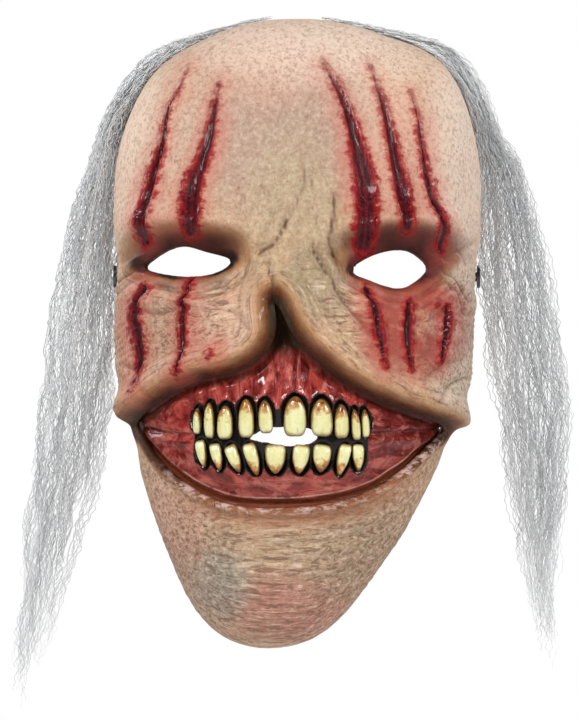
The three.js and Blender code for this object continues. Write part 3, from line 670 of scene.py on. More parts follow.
def skin_paint():
    p = Paint("painted latex skin")
    mouth, eyes, slash, core, crease = (p.field(k) for k in ("mouth", "eyes", "slash", "core", "crease"))
    raw = p.field("raw")  # 1 on the unpainted back
    x, height = p.xyz["X"], p.xyz["Z"]

    def along(distance, warp):
        """A place measured across and along the wrinkles that follow an edge."""
        join = p.nodes.new("ShaderNodeCombineXYZ")
        p.put(join.inputs[0], p.ragged(p.times(distance, MM), p.noise(45, 2), warp * MM))
        p.put(join.inputs[1], p.times(x, 0.2))
        return join.outputs[0]

    def wrinkles(scale, lean):
        return p.noise(scale, 4, 0.68, stretch=(0.13, 1, 1), turn=(0, lean, 0), distortion=0.5)

    # Fine wrinkles: level on the chin, leaning on the cheeks, along the folds and lids, upright above the eyes.
    near_lids = p.times(p.step(eyes, 15.0, 8.0), p.step(height, 0.010, 0.0))
    near_fold = p.times(p.step(mouth, 20.0, 12.0), p.step(height, -0.075, -0.06))
    above_eyes = p.step(height, -0.004, 0.016)
    upright = p.noise(400, 4, 0.7, stretch=(1, 1, 0.6), turn=(0, 12, 0), distortion=0.9)
    fine_wrinkles = p.mix(p.step(x, -0.012, -0.004), wrinkles(540, -40), wrinkles(540, 38))
    fine_wrinkles = p.mix(p.step(height, -0.080, -0.070), wrinkles(560, -5), fine_wrinkles)
    fine_wrinkles = p.mix(p.times(near_fold, 0.75), fine_wrinkles, p.noise(560, 4, 0.66, vector=along(mouth, 6.0)))
    fine_wrinkles = p.mix(near_lids, fine_wrinkles, p.noise(560, 4, 0.66, vector=along(eyes, 4.0)))
    fine_wrinkles = p.mix(above_eyes, fine_wrinkles, upright)
    patch = p.noise(38, 4, 0.6)
    fine = p.noise(520, 4, 0.72)
    p.color = p.mix(p.step(p.noise(14, 3, 0.55), 0.35, 0.68), (0.61, 0.39, 0.24), (0.56, 0.36, 0.25))
    p.lay((0.60, 0.25, 0.16), p.step(patch, 0.5, 0.75), 0.6)
    p.lay((0.50, 0.37, 0.18), p.step(p.noise(30, 4, 0.6, distortion=0.6), 0.52, 0.72), 0.55)
    for *where, share, color in SKIN_PATCHES:
        p.lay(color, p.spot(*where), share)
    # Mottling and freckles; the dark marks in the pores and wrinkles are painted shade.
    p.lay((0.33, 0.17, 0.11), p.step(fine, 0.49, 0.62), 0.46)
    p.lay((0.84, 0.66, 0.53), p.step(fine, 0.46, 0.36), 0.24)
    dashes = p.step(p.cells(560, stretch=(1, 1, 0.6), turn=(0, 15, 0)), 0.28, 0.1)
    p.lay((0.26, 0.09, 0.06), dashes, p.step(p.noise(50, 3, 0.6), 0.42, 0.6), 0.5)
    specks = p.step(p.cells(190), 0.14, 0.06)
    p.lay((0.40, 0.035, 0.02), specks, p.step(p.noise(33, 2), 0.5, 0.64), 0.7)
    # Painted shade in the fine wrinkles, with paler skin between them.
    low = p.minus(1.0, p.times(above_eyes, 0.72))
    p.lay((0.19, 0.10, 0.06), p.step(fine_wrinkles, 0.515, 0.60), p.times(low, 0.7))
    p.lay((0.80, 0.60, 0.45), p.step(fine_wrinkles, 0.46, 0.37), p.times(low, 0.6))
    # Painted shade along the creases.
    p.lay((0.13, 0.055, 0.03), p.step(crease, 0.1, 1.0), 0.8)
    # Brown paint along the mouth's edge, widest under the hanging folds, darkening to painted shade at the edge itself.
    glaze_and_shade_edge = p.ragged(mouth, patch, 7.0)
    over = p.step(height, -0.076, -0.062)
    lower = p.minus(1.0, over)
    glaze_and_shade_at = p.math("DIVIDE", glaze_and_shade_edge, p.plus(p.times(over, 3.2), 1.3))
    p.lay((0.40, 0.17, 0.05), p.step(glaze_and_shade_at, 2.7, 1.0, 0.0, 0.72))
    p.lay((0.16, 0.045, 0.012), p.step(glaze_and_shade_at, 1.7, 0.75, 0.0, 0.93))
    p.lay((0.04, 0.011, 0.004), p.step(glaze_and_shade_at, 0.95, 0.25, 0.0, 0.9))
    from_middle = p.math("ABSOLUTE", x)
    under_lip = p.times(lower, p.step(from_middle, 0.062, 0.035), p.step(glaze_and_shade_edge, 12.0, 4.0))
    p.lay((0.36, 0.13, 0.055), under_lip, 0.6)
    # The torn lip shows bare latex, up to the corners of the mouth.
    lip = p.times(p.step(mouth, 3.4, 1.6), lower)
    lip = p.times(lip, p.times(p.step(x, -0.062, -0.050), p.step(x, 0.068, 0.060)))
    torn = p.times(lip, p.step(p.noise(210, 5, 0.72, stretch=(0.7, 1, 1.6)), 0.44, 0.60))
    p.lay((0.64, 0.43, 0.36), torn, 0.9)
    # Painted shade in the slit where the two cheek folds meet, streaked up and down.
    p.lay((0.05, 0.05, 0.03), p.spot(-7, -22, 7, 15), p.step(p.noise(160, 3, 0.6, stretch=(1, 1, 0.3)), 0.4, 0.6))
    p.lay((0.23, 0.15, 0.125), p.times(p.step(eyes, 9.0, 3.0), p.step(height, 0.006, -0.004)), 0.6)
    # Painted shade round the eye holes, near black at their edge; it reaches further up under the brows and at the
    # outer corners.
    outer = p.most(p.spot(62, 3, 14, 20), p.times(p.spot(-70, 6, 12, 16), 0.6))
    eye_shade_reach = p.plus(p.plus(p.times(p.step(height, -0.001, 0.010), 1.8), 1.0), p.times(outer, 1.6))
    eye_shade_at = p.math("DIVIDE", p.ragged(eyes, patch, 5.0), eye_shade_reach)
    p.lay((0.33, 0.15, 0.055), p.step(eye_shade_at, 4.8, 2.4, 0.0, 0.75))
    p.lay((0.12, 0.042, 0.02), p.step(eye_shade_at, 2.9, 1.1, 0.0, 0.85))
    p.lay((0.01, 0.006, 0.006), p.step(eye_shade_at, 1.9, 0.8, 0.0, 0.95))
    # Painted shade in bands under the overhanging brows, near black just above the eye holes.
    p.lay((0.24, 0.085, 0.035), p.most(p.spot(-46, 15.5, 30, 9), p.spot(42, 14.5, 29, 9.5)), 0.85)
    p.lay((0.045, 0.009, 0.007), p.most(p.spot(-46, 12, 27, 8), p.spot(46, 12, 34, 14)))
    p.lay((0.28, 0.045, 0.032), p.times(p.spot(51, -22, 33, 30), p.step(p.noise(70, 4, 0.6), 0.25, 0.54)), 0.92)
    # Blood: a pink stain, a stippled red halo and a dark wet core.
    halo_edge = p.ragged(slash, p.noise(330, 5, 0.74, stretch=(0.5, 1, 1)), 11.0)
    strength = p.plus(p.times(p.step(height, 0.094, 0.050), 0.55), 0.45)
    below_brows = p.minus(1.0, p.times(p.spot(0, 15, 95, 15), 0.85))
    stain = p.times(p.step(p.ragged(slash, patch, 12.0), -10.0, -0.5, 0.0, 0.46), below_brows)
    p.lay((0.56, 0.10, 0.075), stain, strength)
    p.lay((0.33, 0.006, 0.008), p.step(halo_edge, -2.4, 0.2, 0.0, 0.95), strength)
    p.lay((0.215, 0.002, 0.006), p.step(halo_edge, -0.6, 1.8, 0.0, 0.8))
    streak = p.noise(520, 4, 0.65, stretch=(1, 1, 0.1))
    core_edge = p.ragged(core, streak, 2.2)
    strands = p.math("COSINE", p.plus(p.times(p.minus(1.0, core), 9.4), p.times(streak, 6.0)))
    flesh = p.times(p.step(core_edge, 0.0, 0.45), p.step(slash, 0.0, 0.6))
    p.lay((0.15, 0.001, 0.006), flesh, 0.85, p.step(height, 0.088, 0.062, 0.2, 1.0))
    deep = p.times(p.step(core_edge, 0.2, 0.7), p.step(slash, -0.1, 0.5), p.step(strands, -0.7, 0.3, 0.35, 1.0))
    p.lay((0.02, 0.001, 0.004), deep, p.step(height, 0.088, 0.062, 0.3, 1.0), 0.85)
    # The back is bare latex.
    p.lay(p.mix(p.step(patch, 0.35, 0.7), (0.60, 0.46, 0.28), (0.52, 0.39, 0.23)), raw)
    # Wet blood and glaze shine, the rest is satin.
    glossy_glaze = p.times(p.step(glaze_and_shade_at, 1.9, 0.9), p.step(mouth, 0.3, 1.6), p.step(from_middle, 0.058, 0.048))
    wet = p.most(p.step(slash, -0.6, 0.6), glossy_glaze, torn)
    rough = p.mix(wet, grey(0.55), grey(0.26))
    rough = p.mix(p.times(p.step(fine, 0.35, 0.65), 0.3), rough, grey(0.75))
    normal = p.bump(p.cells(560, stretch=(1, 1, 1.3)), 0.3, 0.3)
    normal = p.bump(fine_wrinkles, p.times(low, 0.85), 1.3, normal)
    dents = p.noise(240, 4, 0.65, stretch=(1, 1, 2.4), turn=(0, 30, 0), distortion=0.6)
    normal = p.bump(dents, 0.35, 0.6, normal)
    normal = p.bump(p.times(streak, p.step(slash, -1.2, 0.4)), 0.9, 1.6, normal)
    return p.finish(
        rough=rough, specular=0.22, coat=p.times(wet, 0.16), coat_rough=0.1, normal=normal,
        scatter=0.1, scatter_scale=0.003, scatter_radius=(1.0, 0.35, 0.2),
    )


def build_skin():
    across = 290  # facets from side to side
    front_share = 0.8  # of them, the share on the front of the face
    u = np.linspace(-1, 1, across + 1)
    a, b = np.meshgrid(u, u, indexing="ij")
    ring = np.maximum(np.abs(a), np.abs(b))
    with np.errstate(divide="ignore", invalid="ignore"):
        angle = np.where(
            np.abs(a) >= np.abs(b),
            np.where(a > 0, 0, math.pi) + math.pi / 4 * np.nan_to_num(b / a),
            np.where(b > 0, 1, -1) * math.pi / 2 - math.pi / 4 * np.nan_to_num(a / b),
        )
    s = np.where(ring <= front_share, ring / front_share, 1 + (ring - front_share) / (1 - front_share))
    points, normals, wall = (v.reshape(-1, *v.shape[2:]) for v in form(s, angle))
    coarse = points + normals * skin_rise(points[:, 0], points[:, 2], wall)[:, None]
    rise, fields = skin_detail(coarse[:, 0], coarse[:, 2], wall)
    outer = coarse + normals * rise[:, None]
    inner = coarse - normals * (SKIN_WALL - 0.5 * np.clip(rise, -1.5, 2.5))[:, None]
    squares, even = grid_squares(across, across)
    triangles = np.concatenate([
        squares[even][:, [0, 1, 2]], squares[even][:, [0, 2, 3]],
        squares[~even][:, [0, 1, 3]], squares[~even][:, [1, 2, 3]],
    ])
    keep = np.where(wall > 0.2, 50.0, np.minimum(fields["mouth"], fields["eyes"]))

    def bare(fields):
        return ramp(fields["mouth"], 5, 6.5) * ramp(fields["eyes"], 2.5, 3.5)

    skin = cast_shell("latex_skin", outer, inner, triangles, fields, keep, bare, 0.56)
    skin.data.materials.append(skin_paint())
    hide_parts("face_skin")
    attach(skin, "mask")


# ---------------------------------------------------------------- gum
def tooth_distance(x, z, teeth):
    """Distance outside the nearest tooth's outline in mm."""
    best = np.full(x.shape, 99.0)
    for tx, tz, width, height, lean in teeth:
        u, v = leaning(x - tx, z - tz, lean)
        r = np.hypot(u / (width / 2), v / (height / 2))
        best = np.minimum(best, (r - 1) * np.where(r > 0, np.hypot(u, v) / np.maximum(r, 1e-6), width / 2))
    return best


def gum_fields(x, z):
    """Distance from the dark bed round the teeth and from the mouth's edge."""
    bed = np.minimum(tooth_distance(x, z, UPPER_TEETH), tooth_distance(x, z, LOWER_TEETH))
    rows = ramp(z, -82.5, -80) * ramp(-z, 56.5, 59) * ramp(x, -45.5, -43) * ramp(-x, -31.5, -29.5)
    bed = np.minimum(bed, (1 - rows) * 3 + 0.9)
    return bed, signed_distance(x, z, mouth_outline)


def gum_paint():
    p = Paint("wet red gum")
    bed, groove, raw = p.field("bed"), p.field("groove"), p.field("raw")
    x, height = p.xyz["X"], p.xyz["Z"]
    wide = p.step(p.math("ABSOLUTE", p.plus(x, 0.006)), 0.026, 0.042)
    wide = p.most(wide, p.step(height, -0.079, -0.084))
    patch = p.noise(75, 4, 0.6, stretch=(1, 1, 0.6))
    upright = p.noise(190, 5, 0.66, stretch=(1.4, 1, 0.35), distortion=0.8)
    crease_streaks = p.mix(wide, upright, p.noise(170, 5, 0.66, stretch=(0.4, 1, 1.2), distortion=0.8))
    p.color = p.mix(p.step(patch, 0.32, 0.66), (0.17, 0.009, 0.008), (0.43, 0.05, 0.038))
    p.lay((0.11, 0.008, 0.007), p.spot(46, -66, 30, 24), 0.8)
    # Pink streaks that are lighter on their raised ridges, partly a painted highlight, with painted shade in the
    # creases between them.
    p.lay((0.60, 0.165, 0.13), p.step(crease_streaks, 0.48, 0.68), 0.8)
    p.lay((0.06, 0.004, 0.004), p.step(crease_streaks, 0.50, 0.33), 0.92)
    # A brown groove and a pale line along the lower lip, a dark shade under the folds.
    edge = p.ragged(groove, patch, 5.0)
    low = p.step(height, -0.068, -0.080)
    p.lay((0.20, 0.045, 0.016), p.step(edge, -5.2, -2.6), low)
    line = p.times(p.step(p.math("ABSOLUTE", p.plus(groove, 4.6)), 0.55, 0.1), low)
    p.lay((0.62, 0.40, 0.33), line, p.step(p.noise(90, 3), 0.38, 0.5), 0.8)
    shade = p.times(p.step(edge, -5.0, 0.0), p.minus(1.0, low))
    p.lay((0.07, 0.012, 0.008), shade, 0.85)
    p.lay((0.20, 0.05, 0.03), p.step(height, -0.074, -0.088), 0.3)
    # Pale patches on the inner gum are a painted sheen of its wetness, with dark patches between them.
    sheen_mottle = p.noise(85, 5, 0.7, stretch=(0.6, 1, 1.2), distortion=0.9)
    inner = p.times(wide, p.step(groove, -4.2, -5.6))
    p.lay((0.60, 0.19, 0.14), p.step(sheen_mottle, 0.54, 0.66), inner, 0.55)
    p.lay((0.08, 0.008, 0.007), p.step(sheen_mottle, 0.48, 0.37), inner, 0.8)
    # Painted shade: the gum turns near black at its top, in the slit between the cheek folds.
    p.lay((0.03, 0.014, 0.008), p.step(height, -0.038, -0.029))
    # Painted shade in the corners of the mouth, where the folds end.
    corners = p.step(p.math("ABSOLUTE", p.plus(x, 0.004)), 0.048, 0.066)
    p.lay((0.10, 0.010, 0.008), corners, 0.75)
    p.lay((0.004, 0.003, 0.003), p.step(p.ragged(bed, p.noise(200, 4, 0.66), 3.4), 2.5, 1.6))
    p.lay((0.30, 0.05, 0.04), raw)
    rough = p.mix(p.step(p.noise(180, 3), 0.35, 0.65), grey(0.13), grey(0.34))
    rough = p.mix(raw, rough, grey(0.55))
    upright_ropes = p.noise(190, 3, 0.5, stretch=(1.3, 1, 0.22), distortion=0.5)
    ropes = p.mix(wide, upright_ropes, p.noise(170, 3, 0.5, stretch=(0.3, 1, 1.2), distortion=0.5))
    normal = p.bump(crease_streaks, 0.4, 0.9, p.bump(ropes, 0.7, 1.9))
    normal = p.bump(p.noise(300, 3, 0.6), p.times(p.spot(-2, -93, 34, 10), 0.9), 1.6, normal)
    return p.finish(
        rough=rough, specular=0.12, coat=p.times(p.minus(1.0, p.most(shade, corners, raw)), 0.45), coat_rough=0.06,
        normal=normal, scatter=0.06, scatter_scale=0.003, scatter_radius=(1.0, 0.2, 0.15),
    )


def add_roots(rise, x, z, teeth, swell, up, fade_start, fade_end):
    """Adds the swellings of the gum over a row's roots. up is 1 where the roots point up and -1 where down."""
    for tx, tz, width, height, _ in teeth:
        root = up * tz + height / 2
        reach = ramp(up * z, root + 0.5, root + 3) * ramp(-up * z, -(root + fade_end), -(root + fade_start))
        rise += swell * ridge(x - tx, 0.42 * width) * reach


def build_gum():
    spacing = 0.62  # between the grid's points
    margin = 4.5  # of gum outside the mouth's opening
    low, high = mouth_outline.min(0) - margin, mouth_outline.max(0) + margin
    columns, rows = (int(math.ceil((h - l) / spacing)) for l, h in zip(low, high))
    x, z = (v.ravel() for v in np.meshgrid(
        np.linspace(low[0], high[0], columns + 1), np.linspace(low[1], high[1], rows + 1), indexing="ij"))
    points, normals, _ = form_behind(x, z)
    bare = gum_rise(x, z)
    coarse = points + normals * bare[:, None]
    gx, gz = coarse[:, 0], coarse[:, 2]
    bed, groove = gum_fields(gx, gz)
    rise = 0.55 * ridge(bed - 2.0, 0.8) - 1.1 * ramp(1.4 - bed, 0, 1.6)
    rise += 0.9 * wobble(gx, gz, 21, 3) * ramp(bed, 2, 6) * ramp(-groove, 1, 6)
    rise += 0.5 * ridge(groove + 4.8, 1.1) - 1.3 * ridge(groove + 1.6, 1.5)
    add_roots(rise, gx, gz, UPPER_TEETH, 1.1, 1, 6, 14)
    add_roots(rise, gx, gz, LOWER_TEETH, 0.7, -1, 4, 9)
    # The two rows of gum meet in a seam at each corner of the mouth.
    seam = np.minimum(*(distance_to_line(gx, gz, smooth_line(line, False))[0] for line in GUM_SEAMS))
    rise -= 1.4 * ridge(seam, 1.0)
    rise += 0.9 * ridge(seam - 3, 2.0)
    allowed = skin_rise(x, z, 0 * x) - SKIN_WALL - 0.5
    total = bare + rise
    total = np.where(groove > -1.5, np.minimum(total, allowed), total)
    outer = points + normals * total[:, None]
    inner = points + normals * (bare - GUM_WALL)[:, None]
    squares, _ = grid_squares(columns, rows)
    triangles = np.concatenate([squares[:, [0, 1, 2]], squares[:, [0, 2, 3]]])
    gap = signed_distance(gx, gz, gap_outline) + 0.25 * wobble(gx, gz, 5, 2)
    rim = margin - 0.6 - 2.3 * ramp(np.abs(gx - EYES_MIDDLE_X), 56, 66)  # narrower where the face turns to its side
    keep = np.minimum(gap, rim - groove)
    gum = cast_shell(
        "wet_gum", outer, inner, triangles, {"bed": bed, "groove": groove}, keep, lambda f: np.ones(len(f["bed"])), 0.6)
    gum.data.materials.append(gum_paint())
    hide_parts("gum_casting")
    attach(gum, "mask")


# ---------------------------------------------------------------- teeth
def tooth_paint():
    p = Paint("stained tooth")
    root, edge = p.field("root"), p.field("edge")
    grain = p.noise(240, 4, 0.6, stretch=(1, 1, 0.35))
    blotch = p.noise(230, 4, 0.66)
    p.color = p.mix(p.step(grain, 0.3, 0.7), (0.80, 0.78, 0.43), (0.72, 0.67, 0.29))
    stain_at = p.ragged(root, blotch, 1.3)
    p.lay((0.46, 0.17, 0.018), p.step(stain_at, 0.55, 0.80, 0.0, 0.9))
    p.lay((0.10, 0.012, 0.004), p.step(stain_at, 0.80, 0.95, 0.0, 0.95))
    p.lay((0.26, 0.12, 0.02), p.step(p.ragged(edge, grain, 0.35), 0.74, 0.98, 0.0, 0.85))
    p.lay((0.36, 0.17, 0.03), p.step(p.noise(90, 5, 0.7, stretch=(2.5, 1, 0.4), distortion=1.5), 0.6, 0.68), 0.5)
    rough = p.mix(p.step(blotch, 0.4, 0.65), grey(0.2), grey(0.42))
    normal = p.bump(p.noise(150, 4, 0.6), 0.6, 1.0, p.bump(grain, 0.35, 0.5))
    return p.finish(rough=rough, coat=0.5, coat_rough=0.1, normal=normal, scatter=0.08, scatter_scale=0.002)


def tooth_mesh(tooth, upper, seed):
    """One tooth as rings from the middle of its front round to its back."""
    tx, tz, width, height, lean = tooth
    width, height = width * 1.08, height * 1.04  # a little more than its plain size
    rings, sectors = 15, 30
    bite_corners, root_corners = 4.2, 2.1  # how square the outline is: 2 is an ellipse
    ring = np.concatenate([np.linspace(0, 1, rings), np.linspace(1, 0, rings)[1:]])
    front = np.concatenate([np.ones(rings), -np.ones(rings - 1)])
    turn = np.arange(sectors) / sectors * 2 * math.pi
    r, t = np.meshgrid(ring, turn, indexing="ij")
    side = np.repeat(front[:, None], sectors, 1)
    toward_bite = -np.sin(t) if upper else np.sin(t)
    boxy = np.where(toward_bite > 0, bite_corners, root_corners)
    cx = np.sign(np.cos(t)) * np.abs(np.cos(t)) ** (2 / boxy)
    cz = np.sign(np.sin(t)) * np.abs(np.sin(t)) ** (2 / boxy)
    bite = -cz if upper else cz
    # Narrow at the root, widest near the biting edge, and no two teeth alike.
    wide = 0.93 + 0.17 * bite - 0.12 * bite * bite
    uneven = 1 + 0.035 * np.sin(2 * t + 2.1 * seed) + 0.03 * np.sin(3 * t + 3.7 * seed)
    u, v = r * cx * wide * uneven, r * cz * uneven
    thick = (1 - r ** 2.6) ** (1 / 2.2)
    d = side * thick * (1 - 0.18 * np.maximum(r * bite, 0) ** 2)
    ridges = side * 0.06 * np.cos(u * 8 + seed) * (1 - r ** 2) * ramp(r * bite, -0.6, 0.6)
    local = np.stack([u * width / 2, -(d + ridges) * TOOTH_THICKNESS / 2, v * height / 2], -1)
    x, z = leaning(local[..., 0], local[..., 2], -lean)
    local = np.stack([x, local[..., 1], z], -1)
    place = np.array([float(tx)]), np.array([float(tz)])
    at, ahead, _ = form_behind(*place)
    facing = Vector((ahead[0][0], ahead[0][1], ahead[0][2] * 0.3)).normalized()
    turned = np.array(Vector((0, -1, 0)).rotation_difference(facing).to_matrix())
    middle = at[0] + ahead[0] * (gum_rise(*place)[0] - SOCKET_DEPTH + TOOTH_THICKNESS / 2)
    points = local.reshape(-1, 3) @ turned.T + middle
    count = len(ring)
    root = (0.5 - 0.5 * bite * r).reshape(-1)
    edge = r.reshape(-1)
    faces = []
    for i in range(count - 1):
        for j in range(sectors):
            k = (j + 1) % sectors
            if i == 0:
                faces.append((0, sectors * (i + 1) + j, sectors * (i + 1) + k))
            elif i == count - 2:
                faces.append((sectors * i + k, sectors * i + j, sectors * (count - 1)))
            else:
                faces.append((sectors * i + j, sectors * (i + 1) + j, sectors * (i + 1) + k, sectors * i + k))
    return points, faces, root, edge


def tidy_mesh(obj):
    """Drops loose points and turns every face outwards, smoothly shaded."""
    bm = bmesh.new()
    bm.from_mesh(obj.data)
    bmesh.ops.delete(bm, geom=[v for v in bm.verts if not v.link_faces], context="VERTS")
    bmesh.ops.recalc_face_normals(bm, faces=bm.faces)
    bm.to_mesh(obj.data)
    bm.free()
    obj.data.shade_smooth()


def build_teeth(name, teeth, upper, material):
    points, faces, roots, edges = [], [], [], []
    for seed, tooth in enumerate(teeth):
        p, f, root, edge = tooth_mesh(tooth, upper, seed * 1.7)
        start = sum(len(q) for q in points)
        points.append(p)
        roots.append(root)
        edges.append(edge)
        faces += [tuple(k + start for k in face) for face in f]
    fields = {"root": np.concatenate(roots), "edge": np.concatenate(edges)}
    row = make_object(name, np.vstack(points), faces, fields)
    tidy_mesh(row)
    row.data.materials.append(material)
    prefix = "upper_tooth_" if upper else "lower_tooth_"
    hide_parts(*[f"{prefix}{i + 1}" for i in range(len(teeth))])
    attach(row, "mask")


# ---------------------------------------------------------------- hair
# Hanging hair on each side: height, and its inner and outer edge from the face's middle.
CURTAINS = {
    "right": {
        "side": -1,
        "edges": [
            (75, 70, 80.5), (50, 78, 91), (33, 80, 97), (9, 80, 103.5), (-15, 80, 108), (-37, 81, 111.5),
            (-54, 82, 113), (-98, 91, 118), (-124, 100, 120.5), (-142, 107, 120.5), (-163, 112, 123), (-193, 118, 127),
        ],
        "crown": (93, 134),
        "thick": (2.5, 10.5),
        "shortest": 0.5,
    },
    "left": {
        "side": 1,
        "edges": [(75, 77, 87), (54, 80, 97.5), (33, 81.3, 104.5), (11, 81.5, 110), (-11, 83, 115), (-54, 90, 121.8),
                  (-98, 97, 119.5), (-115, 100, 115.5), (-142, 104, 113), (-163, 108.5, 115), (-181, 111, 114)],
        "crown": (86, 44),
        "thick": (3.5, 12),
        "shortest": 0.66,
    },
}
ROOTS_FROM, ROOTS_RUN = 1.22, 0.7  # the roots' band on the mask's side: 1 is the silhouette, 2 the cut edge
CLEAR_OF_SKIN = 2.6
HANG_DEPTH = (-2.0, 33.0)  # front and rear of the hanging hair in Y
HANG_TOP = 50  # height at which the hair leaves the mask
GUIDE_SPACING = 9.0  # between the points down a guide


def curtain_edges(curtain, z):
    levels, inner, outer = (np.array(c, float) for c in zip(*curtain["edges"]))
    return np.interp(z, levels[::-1], inner[::-1]), np.interp(z, levels[::-1], outer[::-1])


def guide_line(curtain, across, depth, start, tip, sway):
    """One guide: over the crown from its root, then hanging to its tip. across is 0 at the inner edge and 1 at the
    outer, sway is how far, over what length and from where it swings from side to side."""
    first, last = curtain["crown"]
    thin, thick = curtain["thick"]
    points = []
    for t in np.linspace(start, 1, 9):
        angle = math.radians(first + (last - first) * t)
        at, normal, _ = form(np.array([ROOTS_FROM + ROOTS_RUN * depth]), np.array([angle]))
        lift = CLEAR_OF_SKIN + (thin + (thick - thin) * t) * across * ramp(np.array(t - start), 0.0, 0.55)
        points.append(at[0] + normal[0] * float(lift))
    top = points[-1]
    y = HANG_DEPTH[0] + (HANG_DEPTH[1] - HANG_DEPTH[0]) * depth
    swing, length, phase = sway
    for z in [*np.arange(HANG_TOP, tip + 5, -GUIDE_SPACING), tip]:
        inner, outer = curtain_edges(curtain, z)
        settle = float(ramp(np.array(float(top[2] - z)), 0, 70))
        out = inner + (outer - inner) * across + swing * settle * math.sin(math.tau * z / length + phase)
        points.append(np.array([curtain["side"] * out, top[1] + (y - top[1]) * settle, z]))
    return points


def crimp_nodes(material):
    """Geometry nodes: many crimped strands round each guide curve."""
    tree = bpy.data.node_groups.new("crimped strands", "GeometryNodeTree")
    face = tree.interface
    face.new_socket("Geometry", in_out="INPUT", socket_type="NodeSocketGeometry")
    names = {}
    for name, kind, value in (
        ("Strands per guide", "Int", 9), ("Seed", "Int", 3), ("Spread", "Float", 0.0019),
        ("Crimp height", "Float", 0.0008), ("Crimp length", "Float", 0.0056), ("Wander", "Float", 0.007),
        ("Frizz", "Float", 0.0042), ("Strand radius", "Float", 0.00019), ("Point spacing", "Float", 0.0014),
    ):
        socket = face.new_socket(name, in_out="INPUT", socket_type=f"NodeSocket{kind}")
        socket.default_value = value
        names[name] = socket.identifier
    face.new_socket("Geometry", in_out="OUTPUT", socket_type="NodeSocketGeometry")
    given = tree.nodes.new("NodeGroupInput").outputs

    def node(kind, inputs=(), **settings):
        """A new node with its settings, and its inputs by name or number. Gives its outputs."""
        made = tree.nodes.new(kind)
        for key, value in settings.items():
            setattr(made, key, value)
        for key, value in dict(inputs).items():
            if isinstance(value, bpy.types.NodeSocket):
                tree.links.new(value, made.inputs[key])
            else:
                made.inputs[key].default_value = value
        return made.outputs

    def sums(operation, *values):
        return node("ShaderNodeMath", enumerate(values), operation=operation)[0]

    def places(operation, a, b):
        scale = 3 if operation == "SCALE" else 1
        return node("ShaderNodeVectorMath", {0: a, scale: b}, operation=operation)[0]

    def per_strand(offset, low, high):
        """A random number, or random place, that is the same all along a strand."""
        kind, first, out = ("FLOAT_VECTOR", 0, 0) if isinstance(low, tuple) else ("FLOAT", 2, 1)
        index = node("GeometryNodeInputIndex")[0]
        seed = sums("ADD", given["Seed"], offset)
        value = node(
            "FunctionNodeRandomValue", {first: low, first + 1: high, "ID": index, "Seed": seed}, data_type=kind)[out]
        return node("GeometryNodeFieldOnDomain", {0: value}, domain="CURVE", data_type=kind)[0]

    def drift_noise(scale, detail, strand, size):
        """A place's own drift, which differs from strand to strand."""
        position = node("GeometryNodeInputPosition")[0]
        color = node(
            "ShaderNodeTexNoise", {"Vector": position, "W": strand, "Scale": scale, "Detail": detail},
            noise_dimensions="4D")["Color"]
        return places("SCALE", places("SUBTRACT", color, (0.5, 0.5, 0.5)), size)

    curve = node("GeometryNodeMeshToCurve", {"Mesh": given["Geometry"]})[0]
    curve = node(
        "GeometryNodeDuplicateElements", {"Geometry": curve, "Amount": given["Strands per guide"]}, domain="SPLINE")[0]
    curve = node("GeometryNodeTrimCurve", {"Curve": curve, "End": per_strand(5, 0.94, 1.0)}, mode="FACTOR")[0]
    curve = node("GeometryNodeResampleCurve", {"Curve": curve, "Length": given["Point spacing"]}, mode="LENGTH")[0]
    along = node("GeometryNodeSplineParameter")
    # Each strand stands off its guide, more towards the middle of its length.
    arch = sums("SINE", sums("MULTIPLY", sums("POWER", along["Factor"], 0.6), 2.7))
    offset = places("SCALE", per_strand(1, (-1, -1, -0.2), (1, 1, 0.2)), sums("MULTIPLY", given["Spread"], arch))
    # Slow wander, frizz and the tight crimp.
    wander = sums("MULTIPLY", given["Wander"], sums("MULTIPLY", along["Factor"], 2.0))
    drift = drift_noise(22.0, 1.5, per_strand(2, 0.0, 40.0), wander)
    drift = places("ADD", drift, drift_noise(105.0, 1.0, per_strand(8, 0.0, 90.0), given["Frizz"]))
    wave = sums("MULTIPLY", sums("DIVIDE", along["Length"], given["Crimp length"]), 6.2832)
    wave = sums("MULTIPLY", wave, per_strand(6, 0.8, 1.25))
    wave = sums("SINE", sums("ADD", wave, per_strand(3, 0.0, 6.28)))
    height = sums("MULTIPLY", wave, given["Crimp height"])
    crimp = places("SCALE", per_strand(4, (-1, -0.7, -0.1), (1, 0.7, 0.1)), height)
    moved = places("ADD", places("ADD", offset, drift), crimp)
    curve = node("GeometryNodeSetPosition", {"Geometry": curve, "Offset": moved})[0]
    taper = sums("SUBTRACT", 1.0, sums("MULTIPLY", sums("POWER", along["Factor"], 5.0), 0.6))
    radius = sums("MULTIPLY", sums("MULTIPLY", taper, per_strand(7, 0.7, 1.3)), given["Strand radius"])
    curve = node("GeometryNodeSetCurveRadius", {"Curve": curve, "Radius": radius})[0]
    tone = node("FunctionNodeRandomValue", {"ID": node("GeometryNodeInputIndex")[0]})[1]
    curve = node(
        "GeometryNodeStoreNamedAttribute", {"Geometry": curve, "Name": "tone", "Value": tone},
        data_type="FLOAT", domain="CURVE")[0]
    ring = node("GeometryNodeCurvePrimitiveCircle", {"Resolution": 3, "Radius": 1.0})[0]
    thickness = node("GeometryNodeInputRadius")[0]
    tube = node(
        "GeometryNodeCurveToMesh", {"Curve": curve, "Profile Curve": ring, "Scale": thickness, "Fill Caps": True})[0]
    real = node("GeometryNodeRealizeInstances", {0: tube})[0]
    node("NodeGroupOutput", {0: node("GeometryNodeSetMaterial", {"Geometry": real, "Material": material})[0]})
    return tree, names


